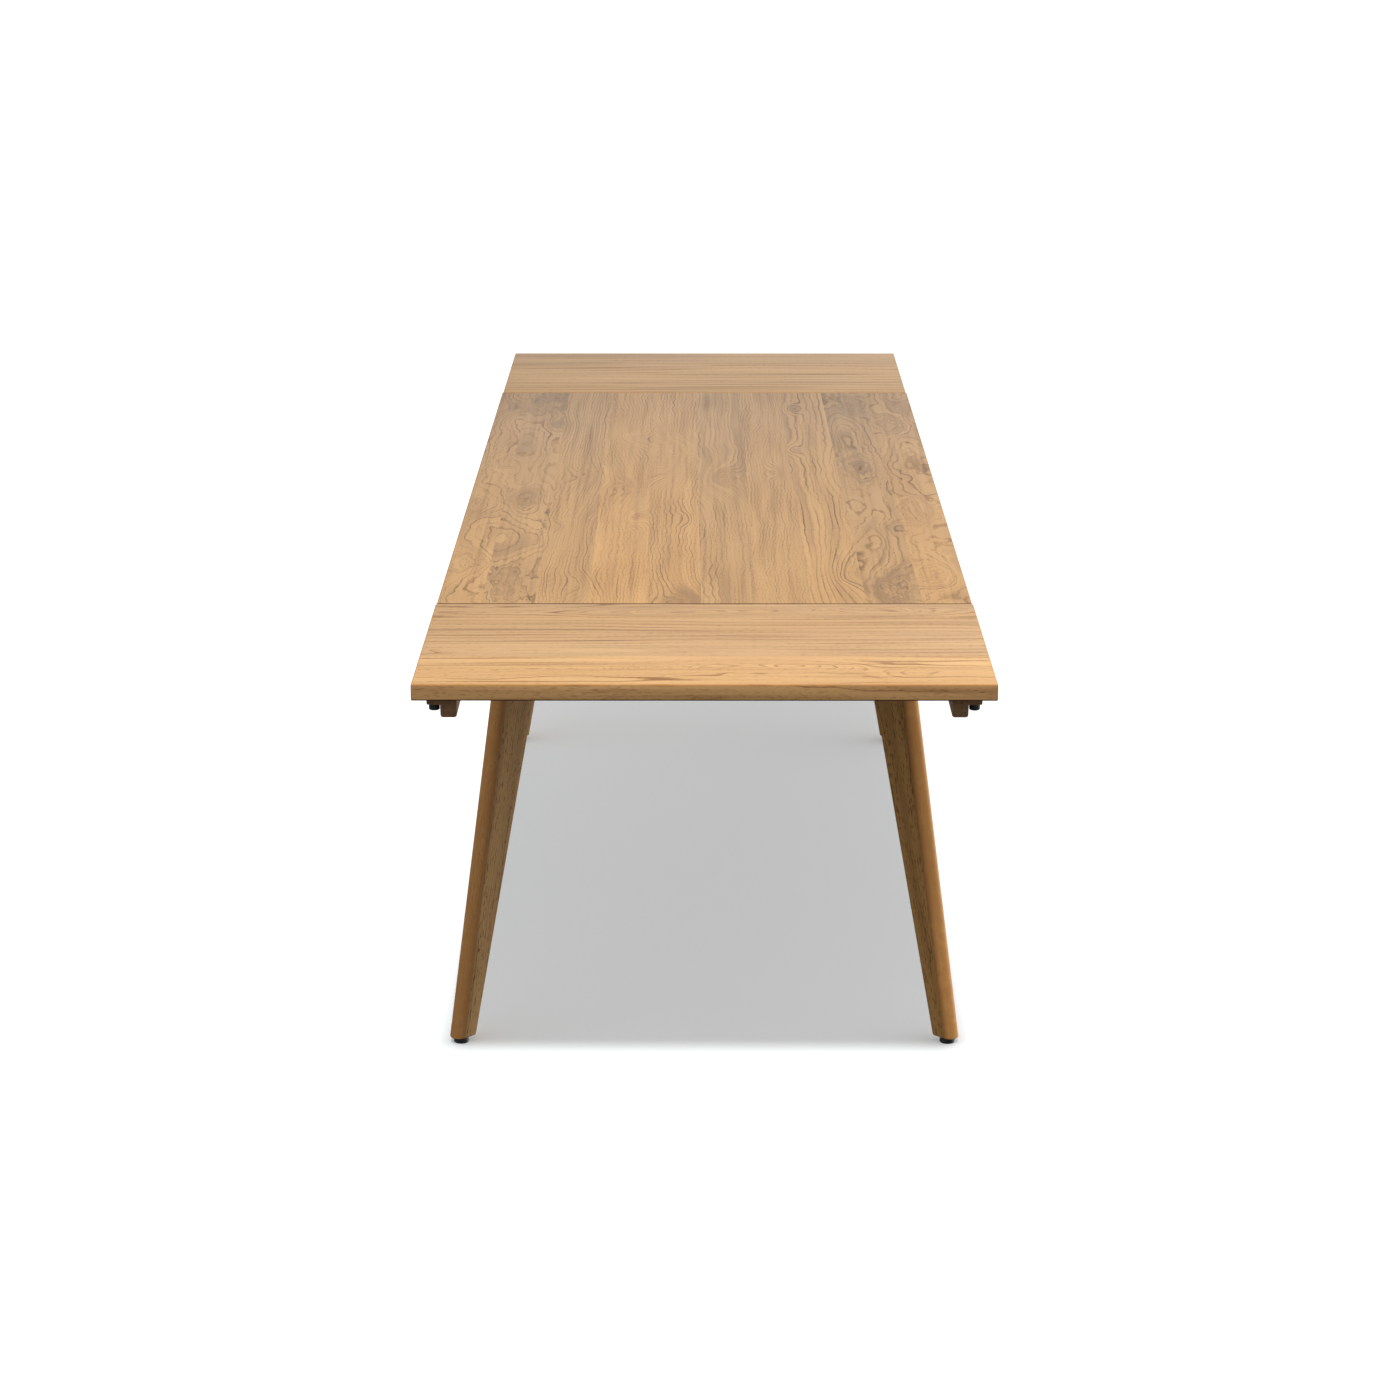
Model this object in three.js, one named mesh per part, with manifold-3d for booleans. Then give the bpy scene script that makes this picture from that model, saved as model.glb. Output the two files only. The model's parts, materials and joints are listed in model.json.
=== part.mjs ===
// Extendable dining table: a solid oak top on four splayed blade legs, with a separate leaf at each
// end. Each leaf rests on two pull-out rails and is located by dowels in the end of the top.
//
// Millimetres, +Z up. The origin is on the floor under the middle of the table. X runs across the
// table, Y runs along it, and the front end is at -Y. The table stands fully extended.

import * as THREE from "three";
import { mergeVertices } from "three/addons/utils/BufferGeometryUtils.js";
import Module from "manifold-3d";

const wasm = await Module();
wasm.setup();

// Overall sizes
const HEIGHT = 750;
const WIDTH = 850;
const MAIN_LENGTH = 1800;
const LEAF_LENGTH = 475;
const TOP_THICKNESS = 25;
const EASED_EDGE = 2;
const GAP = 0.3; // left between pieces that touch

const UNDERSIDE = HEIGHT - TOP_THICKNESS;
const FRAME_TOP = UNDERSIDE - GAP;
const MAIN_END = MAIN_LENGTH / 2;
const LEAF_END = MAIN_END + LEAF_LENGTH;

// Frame under the top. A leg's middle plane is upright, on the diagonal through its corner of the
// aprons, and LEG_CORNER is the point where that plane crosses the middle of both aprons.
const APRON_THICKNESS = 22;
const APRON_DEPTH = 80;
const LEG_CORNER = { x: 291, y: 766 };
const CROSS_RAIL_WIDTH = 60;
const CROSS_RAIL_THICKNESS = 25;

// Legs: blades with a full-round outer edge. Edges are measured along the diagonal, outwards from
// LEG_CORNER.
const LEG_THICKNESS = 30;
const LEG_INNER_CORNER = 4;
const LEG_TOP_EDGES = { inner: -47, outer: 43.3 };
const LEG_FOOT_EDGES = { inner: 134, outer: 174.2 };

// Adjustable glides under the legs
const GLIDE_HEIGHT = 10;
const GLIDE_RADIUS = 12.5;
const GLIDE_STUD_RADIUS = 4;
const GLIDE_STUD_LENGTH = 30;
const FOOT_INSERT_RADIUS = 6.5;
const FOOT_INSERT_LENGTH = 32;
const THREAD_CLEARANCE = 0.5;

// Corner brackets and the bolts that pull the legs against them
const BRACKET_THICKNESS = 3;
const BRACKET_HEIGHT = 56;
const BRACKET_FACE = -53.7; // along the diagonal from LEG_CORNER, on the side of the leg
const BRACKET_FLANGE = 32;
const BOLT_RADIUS = 4;
const BOLT_LENGTH = 60;
const BOLT_HEAD_RADIUS = 7.5;
const BOLT_HEAD_HEIGHT = 5.3;
const BOLT_DROPS = [24, 56]; // below the top of the frame

// Angle clips that hold the top down on the side aprons
const CLIP_LEG = 22;
const CLIP_THICKNESS = 2.5;
const CLIP_WIDTH = 25;
const CLIP_Y = 380;

// Pull-out rails: a web with a thin flange on its outer side, which slides on a ledge of the outer
// guide. A peg in the web runs in a stopped groove of the inner guide.
const RAIL_INNER_FACE = 360;
const RAIL_WEB = 24;
const RAIL_DEPTH = 30;
const RAIL_FLANGE = 20;
const RAIL_FLANGE_THICKNESS = 11;
const RAIL_LENGTH = 850;
const RAIL_SETBACK = 20; // from the end of the leaf to the end of the rail
const RAIL_EASED_EDGE = 4;
const SLIDE_CLEARANCE = 0.4;
const INNER_GUIDE_WIDTH = 24.6;
const INNER_GUIDE_END = 870;
const OUTER_GUIDE_WIDTH = 12.6;
const OUTER_GUIDE_DEPTH = 23;
const OUTER_GUIDE_END = 835;
const PEG_RADIUS = 3;
const PEG_FROM_RAIL_END = 20;
const PEG_IN_RAIL = 12;
const PEG_IN_GROOVE = 7.5;
const GROOVE_DEPTH = 8.4;
const GROOVE_HALF_HEIGHT = 3.5;

// Knob screws through the rail's flange, which clamp the leaf to the rail
const KNOB_X = RAIL_INNER_FACE + RAIL_WEB + RAIL_FLANGE / 2;
const KNOB_FROM_RAIL_END = 17;
const KNOB_RADIUS = 8;
const KNOB_HEIGHT = 11.7;
const KNOB_TRAVEL = 5;
const KNOB_STUD_RADIUS = 3;
const LEAF_INSERT_RADIUS = 6;
const LEAF_INSERT_LENGTH = 14;

// Dowels in the joint between the top and a leaf
const DOWEL_RADIUS = 4;
const DOWEL_LENGTH = 40;
const DOWEL_X = 280;

const ROUND_STEPS = 20;
const UP = new THREE.Vector3(0, 0, 1);

const RAIL_OUTER_END = LEAF_END - RAIL_SETBACK;
const RAIL_INNER_END = RAIL_OUTER_END - RAIL_LENGTH;
const KNOB_Y = RAIL_OUTER_END - KNOB_FROM_RAIL_END;
const PEG_Y = RAIL_INNER_END + PEG_FROM_RAIL_END;
const PEG_Z = FRAME_TOP - RAIL_DEPTH / 2;

const FRONT = { name: "front", sign: -1 };
const REAR = { name: "rear", sign: 1 };
const LEFT = { name: "left", sign: -1 };
const RIGHT = { name: "right", sign: 1 };
const ENDS = [FRONT, REAR];
const SIDES = [LEFT, RIGHT];

// Materials

const FINISHES = {
  topOak: { color: 0xc8a070, roughness: 0.6, metalness: 0 },
  leafOak: { color: 0xd8b080, roughness: 0.6, metalness: 0 },
  frameOak: { color: 0xa8794c, roughness: 0.62, metalness: 0 },
  railOak: { color: 0x7a5634, roughness: 0.7, metalness: 0 },
  beech: { color: 0xc49a6c, roughness: 0.7, metalness: 0 },
  blackPlastic: { color: 0x151515, roughness: 0.5, metalness: 0 },
  zincSteel: { color: 0xa8abae, roughness: 0.4, metalness: 1 },
  brass: { color: 0xb08d45, roughness: 0.35, metalness: 1 },
};

function named(name, geometry, finish) {
  const mesh = new THREE.Mesh(geometry, new THREE.MeshStandardMaterial(finish));
  mesh.name = name;
  return mesh;
}

// Joins and cuts

function toSolid(geometry) {
  const bare = geometry.clone();
  bare.deleteAttribute("normal");
  bare.deleteAttribute("uv");
  const merged = mergeVertices(bare, 1e-4);
  return new wasm.Manifold(
    new wasm.Mesh({
      numProp: 3,
      vertProperties: merged.attributes.position.array,
      triVerts: new Uint32Array(merged.index.array),
    }),
  );
}

function toGeometry(solid) {
  const mesh = solid.getMesh();
  const geometry = new THREE.BufferGeometry();
  geometry.setAttribute("position", new THREE.BufferAttribute(mesh.vertProperties, 3));
  geometry.setIndex(new THREE.BufferAttribute(mesh.triVerts, 1));
  geometry.computeVertexNormals();
  return geometry;
}

function cutFrom(geometry, tools) {
  const solid = tools.reduce((left, tool) => left.subtract(toSolid(tool)), toSolid(geometry));
  return toGeometry(solid);
}

function joined(geometries) {
  const solid = geometries.map(toSolid).reduce((whole, next) => whole.add(next));
  return toGeometry(solid);
}

// Basic shapes

// A closed outline from [x, y, corner radius] points.
function roundedShape(points) {
  const shape = new THREE.Shape();
  points.forEach(([x, y, radius = 0], i) => {
    const corner = new THREE.Vector2(x, y);
    const before = new THREE.Vector2(...points[(i + points.length - 1) % points.length]);
    const after = new THREE.Vector2(...points[(i + 1) % points.length]);
    const enter = before.sub(corner).setLength(radius).add(corner);
    const leave = after.sub(corner).setLength(radius).add(corner);
    if (i === 0) shape.moveTo(enter.x, enter.y);
    else shape.lineTo(enter.x, enter.y);
    if (radius > 0) shape.quadraticCurveTo(x, y, leave.x, leave.y);
  });
  shape.closePath();
  return shape;
}

// An outline in X and Y, from one height up to another.
function upright(points, low, high) {
  const options = { depth: high - low, bevelEnabled: false, curveSegments: 2 };
  return new THREE.ExtrudeGeometry(roundedShape(points), options).translate(0, 0, low);
}

// An outline in X and Z, from one Y to a higher one.
function lengthwise(points, low, high) {
  const options = { depth: high - low, bevelEnabled: false, curveSegments: 2 };
  const geometry = new THREE.ExtrudeGeometry(roundedShape(points), options);
  return geometry.rotateX(Math.PI / 2).translate(0, high, 0);
}

function block(low, high) {
  const corner = new THREE.Vector3(...low);
  const size = new THREE.Vector3(...high).sub(corner);
  const centre = size.clone().multiplyScalar(0.5).add(corner);
  return new THREE.BoxGeometry(...size).translate(...centre);
}

// A round bar from one point to another.
function bar(from, to, radius, steps = ROUND_STEPS) {
  const start = new THREE.Vector3(...from);
  const run = new THREE.Vector3(...to).sub(start);
  const geometry = new THREE.CylinderGeometry(radius, radius, run.length(), steps);
  geometry.rotateX(Math.PI / 2).translate(0, 0, run.length() / 2);
  const turn = new THREE.Quaternion().setFromUnitVectors(UP, run.normalize());
  return geometry.applyQuaternion(turn).translate(...start);
}

// A solid turned about the Z axis, from [radius, height] points going up.
function turned(profile) {
  const points = profile.map(([radius, height]) => new THREE.Vector2(radius, height));
  return new THREE.LatheGeometry(points, ROUND_STEPS).rotateX(Math.PI / 2);
}

function sleeve(inside, outside, low, high) {
  return turned([
    [inside, low],
    [outside, low],
    [outside, high],
    [inside, high],
    [inside, low],
  ]);
}

// A bent strip: the points give one face, and the thickness is laid to the left of them.
function bentStrip(points, thickness) {
  const face = points.map((point) => new THREE.Vector2(...point));
  const turnLeft = (v) => new THREE.Vector2(-v.y, v.x).normalize();
  const backs = face.map((point, i) => {
    const arriving = face[i].clone().sub(face[Math.max(i - 1, 0)]);
    const leaving = face[Math.min(i + 1, face.length - 1)].clone().sub(point);
    const normals = [arriving, leaving].filter((run) => run.length() > 0).map(turnLeft);
    const mitre = normals.reduce((sum, n) => sum.add(n), new THREE.Vector2()).normalize();
    return mitre.multiplyScalar(thickness / mitre.dot(normals[0])).add(point);
  });
  return [...face, ...backs.reverse()].map((point) => [point.x, point.y]);
}

// Solid top and leaves

function slab(low, high) {
  const radius = EASED_EDGE;
  const outline = roundedShape([
    [-WIDTH / 2, low, radius],
    [WIDTH / 2, low, radius],
    [WIDTH / 2, high, radius],
    [-WIDTH / 2, high, radius],
  ]);
  const bevel = EASED_EDGE / 2;
  return new THREE.ExtrudeGeometry(outline, {
    depth: TOP_THICKNESS - 2 * bevel,
    bevelThickness: bevel,
    bevelSize: bevel,
    bevelOffset: -bevel,
    bevelSegments: 1,
    curveSegments: 2,
  }).translate(0, 0, UNDERSIDE + bevel);
}

const DOWEL_Z = UNDERSIDE + TOP_THICKNESS / 2;
const DOWEL_MIDDLE = MAIN_END + GAP / 2;

function dowelBar(side, end, extra) {
  const reach = DOWEL_LENGTH / 2 + extra;
  const x = side.sign * DOWEL_X;
  const from = [x, end.sign * (DOWEL_MIDDLE - reach), DOWEL_Z];
  const to = [x, end.sign * (DOWEL_MIDDLE + reach), DOWEL_Z];
  return bar(from, to, DOWEL_RADIUS + extra, 16);
}

const forEachCorner = (make) => ENDS.flatMap((end) => SIDES.map((side) => make(side, end)));

function mainTop() {
  // a blind hole over each knob's place when its rail is pushed in
  const studHole = (side, end) => {
    const x = side.sign * KNOB_X;
    const y = end.sign * (KNOB_Y - LEAF_LENGTH);
    const depth = KNOB_TRAVEL + 3;
    const radius = KNOB_STUD_RADIUS + THREAD_CLEARANCE;
    return bar([x, y, UNDERSIDE - 1], [x, y, UNDERSIDE + depth], radius, 16);
  };
  const dowelHoles = forEachCorner((side, end) => dowelBar(side, end, GAP));
  const geometry = cutFrom(slab(-MAIN_END, MAIN_END), [
    ...dowelHoles,
    ...forEachCorner(studHole),
  ]);
  return named("main_top", geometry, FINISHES.topOak);
}

function leaf(end) {
  const near = MAIN_END + GAP;
  const blank = end.sign < 0 ? slab(-LEAF_END, -near) : slab(near, LEAF_END);
  const insertHole = (side) => {
    const x = side.sign * KNOB_X;
    const y = end.sign * KNOB_Y;
    const depth = LEAF_INSERT_LENGTH + GAP;
    return bar([x, y, UNDERSIDE - 1], [x, y, UNDERSIDE + depth], LEAF_INSERT_RADIUS + GAP);
  };
  const holes = SIDES.flatMap((side) => [dowelBar(side, end, GAP), insertHole(side)]);
  return named(`${end.name}_leaf`, cutFrom(blank, holes), FINISHES.leafOak);
}

function dowel(side, end) {
  return named(`${end.name}_${side.name}_dowel`, dowelBar(side, end, 0), FINISHES.beech);
}

function leafInsert(side, end) {
  const bore = KNOB_STUD_RADIUS + THREAD_CLEARANCE;
  const geometry = sleeve(bore, LEAF_INSERT_RADIUS, UNDERSIDE, UNDERSIDE + LEAF_INSERT_LENGTH);
  const mesh = named(`${end.name}_${side.name}_leaf_insert`, geometry, FINISHES.brass);
  mesh.position.set(side.sign * KNOB_X, end.sign * KNOB_Y, 0);
  return mesh;
}

// Aprons and cross rail. An apron is made along X with its outer face towards +Y, and its ends are
// cut at 45 degrees to lie against the faces of the legs.

function apron(halfSpan) {
  const endCut = (LEG_THICKNESS / 2 + GAP) * Math.SQRT2;
  const half = APRON_THICKNESS / 2;
  const inner = halfSpan - half - endCut;
  const outer = halfSpan + half - endCut;
  const outline = [
    [-inner, -half],
    [inner, -half],
    [outer, half],
    [-outer, half],
  ];
  return upright(outline, FRAME_TOP - APRON_DEPTH, FRAME_TOP);
}

function endApron(end) {
  const mesh = named(`${end.name}_apron`, apron(LEG_CORNER.x), FINISHES.frameOak);
  mesh.position.y = end.sign * LEG_CORNER.y;
  mesh.rotation.z = end.sign > 0 ? 0 : Math.PI;
  return mesh;
}

function sideApron(side) {
  const mesh = named(`${side.name}_apron`, apron(LEG_CORNER.y), FINISHES.frameOak);
  mesh.position.x = side.sign * LEG_CORNER.x;
  mesh.rotation.z = (-side.sign * Math.PI) / 2;
  return mesh;
}

const APRON_INNER_X = LEG_CORNER.x - APRON_THICKNESS / 2;

function crossRail() {
  const reach = APRON_INNER_X - GAP;
  const half = CROSS_RAIL_WIDTH / 2;
  const low = FRAME_TOP - CROSS_RAIL_THICKNESS;
  const geometry = block([-reach, -half, low], [reach, half, FRAME_TOP]);
  return named("cross_rail", geometry, FINISHES.frameOak);
}

function topClip(side, end) {
  const face = APRON_INNER_X - GAP;
  const outline = [
    [face, FRAME_TOP - CLIP_LEG],
    [face, FRAME_TOP],
    [face - CLIP_LEG, FRAME_TOP],
    [face - CLIP_LEG, FRAME_TOP - CLIP_THICKNESS],
    [face - CLIP_THICKNESS, FRAME_TOP - CLIP_THICKNESS],
    [face - CLIP_THICKNESS, FRAME_TOP - CLIP_LEG],
  ].map(([x, z]) => [side.sign * x, z]);
  const middle = end.sign * CLIP_Y;
  const geometry = lengthwise(outline, middle - CLIP_WIDTH / 2, middle + CLIP_WIDTH / 2);
  return named(`${end.name}_${side.name}_top_clip`, geometry, FINISHES.zincSteel);
}

// Legs and what is fitted to them, in a frame that stands on LEG_CORNER with X outwards along the
// diagonal

// A blade's level section, with its full-round edge outwards, as a ring of points.
function bladeSection({ inner, outer }, height) {
  const half = LEG_THICKNESS / 2;
  const arc = (x, y, radius, from, to, steps) =>
    Array.from({ length: steps + 1 }, (_, i) => {
      const angle = THREE.MathUtils.degToRad(from + ((to - from) * i) / steps);
      return [x + radius * Math.cos(angle), y + radius * Math.sin(angle), height];
    });
  const corner = LEG_INNER_CORNER;
  return [
    ...arc(outer - half, 0, half, -90, 90, 12),
    ...arc(inner + corner, half - corner, corner, 90, 180, 3),
    ...arc(inner + corner, corner - half, corner, 180, 270, 3),
  ];
}

// A closed solid between two convex rings of points that run anticlockwise.
function loft(lower, upper) {
  const count = lower.length;
  const index = [];
  for (let i = 0; i < count; i += 1) {
    const next = (i + 1) % count;
    index.push(i, next, count + next, i, count + next, count + i);
  }
  for (let i = 1; i < count - 1; i += 1) {
    index.push(0, i + 1, i);
    index.push(count, count + i, count + i + 1);
  }
  const geometry = new THREE.BufferGeometry();
  const positions = new Float32Array([...lower, ...upper].flat());
  geometry.setAttribute("position", new THREE.BufferAttribute(positions, 3));
  geometry.setIndex(index);
  return geometry;
}

const FOOT_MIDDLE = (LEG_FOOT_EDGES.inner + LEG_FOOT_EDGES.outer) / 2;
const BOLT_HEAD_FACE = BRACKET_FACE - BRACKET_THICKNESS - GAP;
const BOLT_HEIGHTS = BOLT_DROPS.map((drop) => FRAME_TOP - drop);

function leg(name) {
  const blade = loft(
    bladeSection(LEG_FOOT_EDGES, GLIDE_HEIGHT),
    bladeSection(LEG_TOP_EDGES, FRAME_TOP),
  );
  const tip = BOLT_HEAD_FACE + BOLT_LENGTH + 2;
  const boltHoles = BOLT_HEIGHTS.map((z) =>
    bar([BRACKET_FACE, 0, z], [tip, 0, z], BOLT_RADIUS + GAP, 16),
  );
  const insertHole = bar(
    [FOOT_MIDDLE, 0, GLIDE_HEIGHT - 1],
    [FOOT_MIDDLE, 0, GLIDE_HEIGHT + FOOT_INSERT_LENGTH + 2],
    FOOT_INSERT_RADIUS + GAP,
  );
  return named(`${name}_leg`, cutFrom(blade, [...boltHoles, insertHole]), FINISHES.frameOak);
}

function cornerBracket(name) {
  const toFace = (APRON_THICKNESS / 2 + GAP) * Math.SQRT2;
  const half = -toFace - BRACKET_FACE;
  const drop = BRACKET_FLANGE / Math.SQRT2;
  const outline = bentStrip(
    [
      [BRACKET_FACE - drop, -half - drop],
      [BRACKET_FACE, -half],
      [BRACKET_FACE, half],
      [BRACKET_FACE - drop, half + drop],
    ],
    BRACKET_THICKNESS,
  );
  const middle = FRAME_TOP - APRON_DEPTH / 2;
  const plate = upright(outline, middle - BRACKET_HEIGHT / 2, middle + BRACKET_HEIGHT / 2);
  const holes = BOLT_HEIGHTS.map((z) =>
    bar([BOLT_HEAD_FACE - 1, 0, z], [BRACKET_FACE + 1, 0, z], BOLT_RADIUS + GAP, 16),
  );
  return named(`${name}_corner_bracket`, cutFrom(plate, holes), FINISHES.zincSteel);
}

function legBolt(name, level, z) {
  const head = BOLT_HEAD_FACE - BOLT_HEAD_HEIGHT;
  const geometry = joined([
    bar([head, 0, z], [BOLT_HEAD_FACE, 0, z], BOLT_HEAD_RADIUS, 6),
    bar([BOLT_HEAD_FACE - 1, 0, z], [BOLT_HEAD_FACE + BOLT_LENGTH, 0, z], BOLT_RADIUS, 16),
  ]);
  return named(`${name}_leg_bolt_${level}`, geometry, FINISHES.zincSteel);
}

function footInsert(name) {
  const bore = GLIDE_STUD_RADIUS + THREAD_CLEARANCE;
  const top = GLIDE_HEIGHT + FOOT_INSERT_LENGTH;
  const geometry = sleeve(bore, FOOT_INSERT_RADIUS, GLIDE_HEIGHT, top);
  const mesh = named(`${name}_foot_insert`, geometry, FINISHES.zincSteel);
  mesh.position.x = FOOT_MIDDLE;
  return mesh;
}

function glide(name) {
  const top = GLIDE_HEIGHT - GAP;
  const eased = 1.5;
  const geometry = turned([
    [0, 0],
    [GLIDE_RADIUS - eased, 0],
    [GLIDE_RADIUS, eased],
    [GLIDE_RADIUS, top],
    [GLIDE_STUD_RADIUS, top],
    [GLIDE_STUD_RADIUS, top + GLIDE_STUD_LENGTH],
    [0, top + GLIDE_STUD_LENGTH],
  ]);
  const mesh = named(`${name}_glide`, geometry, FINISHES.blackPlastic);
  mesh.position.x = FOOT_MIDDLE;
  return mesh;
}

function cornerGroup(side, end) {
  const name = `${end.name}_${side.name}`;
  const group = new THREE.Group();
  group.position.set(side.sign * LEG_CORNER.x, end.sign * LEG_CORNER.y, 0);
  group.rotation.z = Math.atan2(end.sign, side.sign);
  group.add(leg(name), cornerBracket(name), footInsert(name), glide(name));
  const levels = ["upper", "lower"];
  levels.forEach((level, i) => group.add(legBolt(name, level, BOLT_HEIGHTS[i])));
  return group;
}

// Guides and pull-out rails

const WEB_OUTER_FACE = RAIL_INNER_FACE + RAIL_WEB;
const FLANGE_EDGE = WEB_OUTER_FACE + RAIL_FLANGE;
const FLANGE_BOTTOM = FRAME_TOP - RAIL_FLANGE_THICKNESS;

function outerGuide(side) {
  const outer = FLANGE_EDGE + SLIDE_CLEARANCE + OUTER_GUIDE_WIDTH;
  const ledge = FLANGE_BOTTOM - SLIDE_CLEARANCE;
  const bottom = FRAME_TOP - OUTER_GUIDE_DEPTH;
  const outline = [
    [WEB_OUTER_FACE + SLIDE_CLEARANCE, bottom],
    [outer, bottom, EASED_EDGE],
    [outer, FRAME_TOP],
    [FLANGE_EDGE + SLIDE_CLEARANCE, FRAME_TOP],
    [FLANGE_EDGE + SLIDE_CLEARANCE, ledge],
    [WEB_OUTER_FACE + SLIDE_CLEARANCE, ledge],
  ].map(([x, z, radius]) => [side.sign * x, z, radius]);
  const geometry = lengthwise(outline, -OUTER_GUIDE_END, OUTER_GUIDE_END);
  return named(`${side.name}_outer_guide`, geometry, FINISHES.railOak);
}

function innerGuide(side) {
  const outer = RAIL_INNER_FACE - SLIDE_CLEARANCE;
  const inner = outer - INNER_GUIDE_WIDTH;
  const bottom = FRAME_TOP - RAIL_DEPTH;
  const outline = [
    [inner, bottom, EASED_EDGE],
    [outer, bottom, EASED_EDGE],
    [outer, FRAME_TOP],
    [inner, FRAME_TOP],
  ].map(([x, z, radius]) => [side.sign * x, z, radius]);
  const blank = lengthwise(outline, -INNER_GUIDE_END, INNER_GUIDE_END);
  const grooves = ENDS.map((end) => {
    const faces = [side.sign * (outer - GROOVE_DEPTH), side.sign * (outer + 1)];
    const stops = [
      end.sign * (PEG_Y - LEAF_LENGTH - PEG_RADIUS - GAP),
      end.sign * (PEG_Y + PEG_RADIUS + GAP),
    ];
    const low = [Math.min(...faces), Math.min(...stops), PEG_Z - GROOVE_HALF_HEIGHT];
    const high = [Math.max(...faces), Math.max(...stops), PEG_Z + GROOVE_HALF_HEIGHT];
    return block(low, high);
  });
  return named(`${side.name}_inner_guide`, cutFrom(blank, grooves), FINISHES.railOak);
}

function rail(side, end) {
  const bottom = FRAME_TOP - RAIL_DEPTH;
  const outline = [
    [RAIL_INNER_FACE, bottom, RAIL_EASED_EDGE],
    [WEB_OUTER_FACE, bottom, RAIL_EASED_EDGE],
    [WEB_OUTER_FACE, FLANGE_BOTTOM],
    [FLANGE_EDGE, FLANGE_BOTTOM, EASED_EDGE],
    [FLANGE_EDGE, FRAME_TOP],
    [RAIL_INNER_FACE, FRAME_TOP],
  ].map(([x, z, radius]) => [side.sign * x, z, radius]);
  const ends = [end.sign * RAIL_INNER_END, end.sign * RAIL_OUTER_END];
  const blank = lengthwise(outline, Math.min(...ends), Math.max(...ends));
  const x = side.sign * KNOB_X;
  const y = end.sign * KNOB_Y;
  const counterbore = bar(
    [x, y, FLANGE_BOTTOM - 1],
    [x, y, FLANGE_BOTTOM + KNOB_TRAVEL + GAP],
    KNOB_RADIUS + SLIDE_CLEARANCE,
  );
  const studHole = bar(
    [x, y, FLANGE_BOTTOM],
    [x, y, FRAME_TOP + 1],
    KNOB_STUD_RADIUS + THREAD_CLEARANCE,
    16,
  );
  const pegHole = pegBar(side, end, PEG_IN_RAIL + GAP, 1, PEG_RADIUS + GAP);
  const geometry = cutFrom(blank, [counterbore, studHole, pegHole]);
  return named(`${end.name}_${side.name}_rail`, geometry, FINISHES.railOak);
}

// A round bar across the inner face of a rail, from a depth in the web to a reach out of it.
function pegBar(side, end, depth, reach, radius) {
  const y = end.sign * PEG_Y;
  const from = [side.sign * (RAIL_INNER_FACE + depth), y, PEG_Z];
  const to = [side.sign * (RAIL_INNER_FACE - reach), y, PEG_Z];
  return bar(from, to, radius, 16);
}

function stopPeg(side, end) {
  const geometry = pegBar(side, end, PEG_IN_RAIL, PEG_IN_GROOVE, PEG_RADIUS);
  return named(`${end.name}_${side.name}_stop_peg`, geometry, FINISHES.beech);
}

function knob(side, end) {
  const top = FLANGE_BOTTOM;
  const bottom = top - KNOB_HEIGHT;
  const eased = 1;
  const geometry = turned([
    [0, bottom],
    [KNOB_RADIUS - eased, bottom],
    [KNOB_RADIUS, bottom + eased],
    [KNOB_RADIUS, top],
    [KNOB_STUD_RADIUS, top],
    [KNOB_STUD_RADIUS, FRAME_TOP - GAP],
    [0, FRAME_TOP - GAP],
  ]);
  const mesh = named(`${end.name}_${side.name}_knob`, geometry, FINISHES.blackPlastic);
  mesh.position.set(side.sign * KNOB_X, end.sign * KNOB_Y, 0);
  return mesh;
}

// The whole table

const table = new THREE.Group();
table.add(mainTop(), crossRail());
ENDS.forEach((end) => table.add(leaf(end), endApron(end)));
SIDES.forEach((side) => table.add(sideApron(side), outerGuide(side), innerGuide(side)));
forEachCorner((side, end) => {
  table.add(cornerGroup(side, end), topClip(side, end));
  table.add(rail(side, end), stopPeg(side, end), knob(side, end));
  table.add(dowel(side, end), leafInsert(side, end));
});

export default table;
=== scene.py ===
"""Extendable dining table: fine pieces, procedural materials, floor, lights and camera around the frame.

Every CAD node is stood for by a finer piece of the same size and place: rounded edges, glued staves,
bent steel, threads and flutes. Metres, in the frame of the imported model: X across the table, Y along
it with the front end at -Y, +Z up from the floor. Small sizes are written in millimetres, as 25 * MM.
"""

import bisect
import json
import math

import bmesh
import bpy
from mathutils import Matrix, Vector

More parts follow.
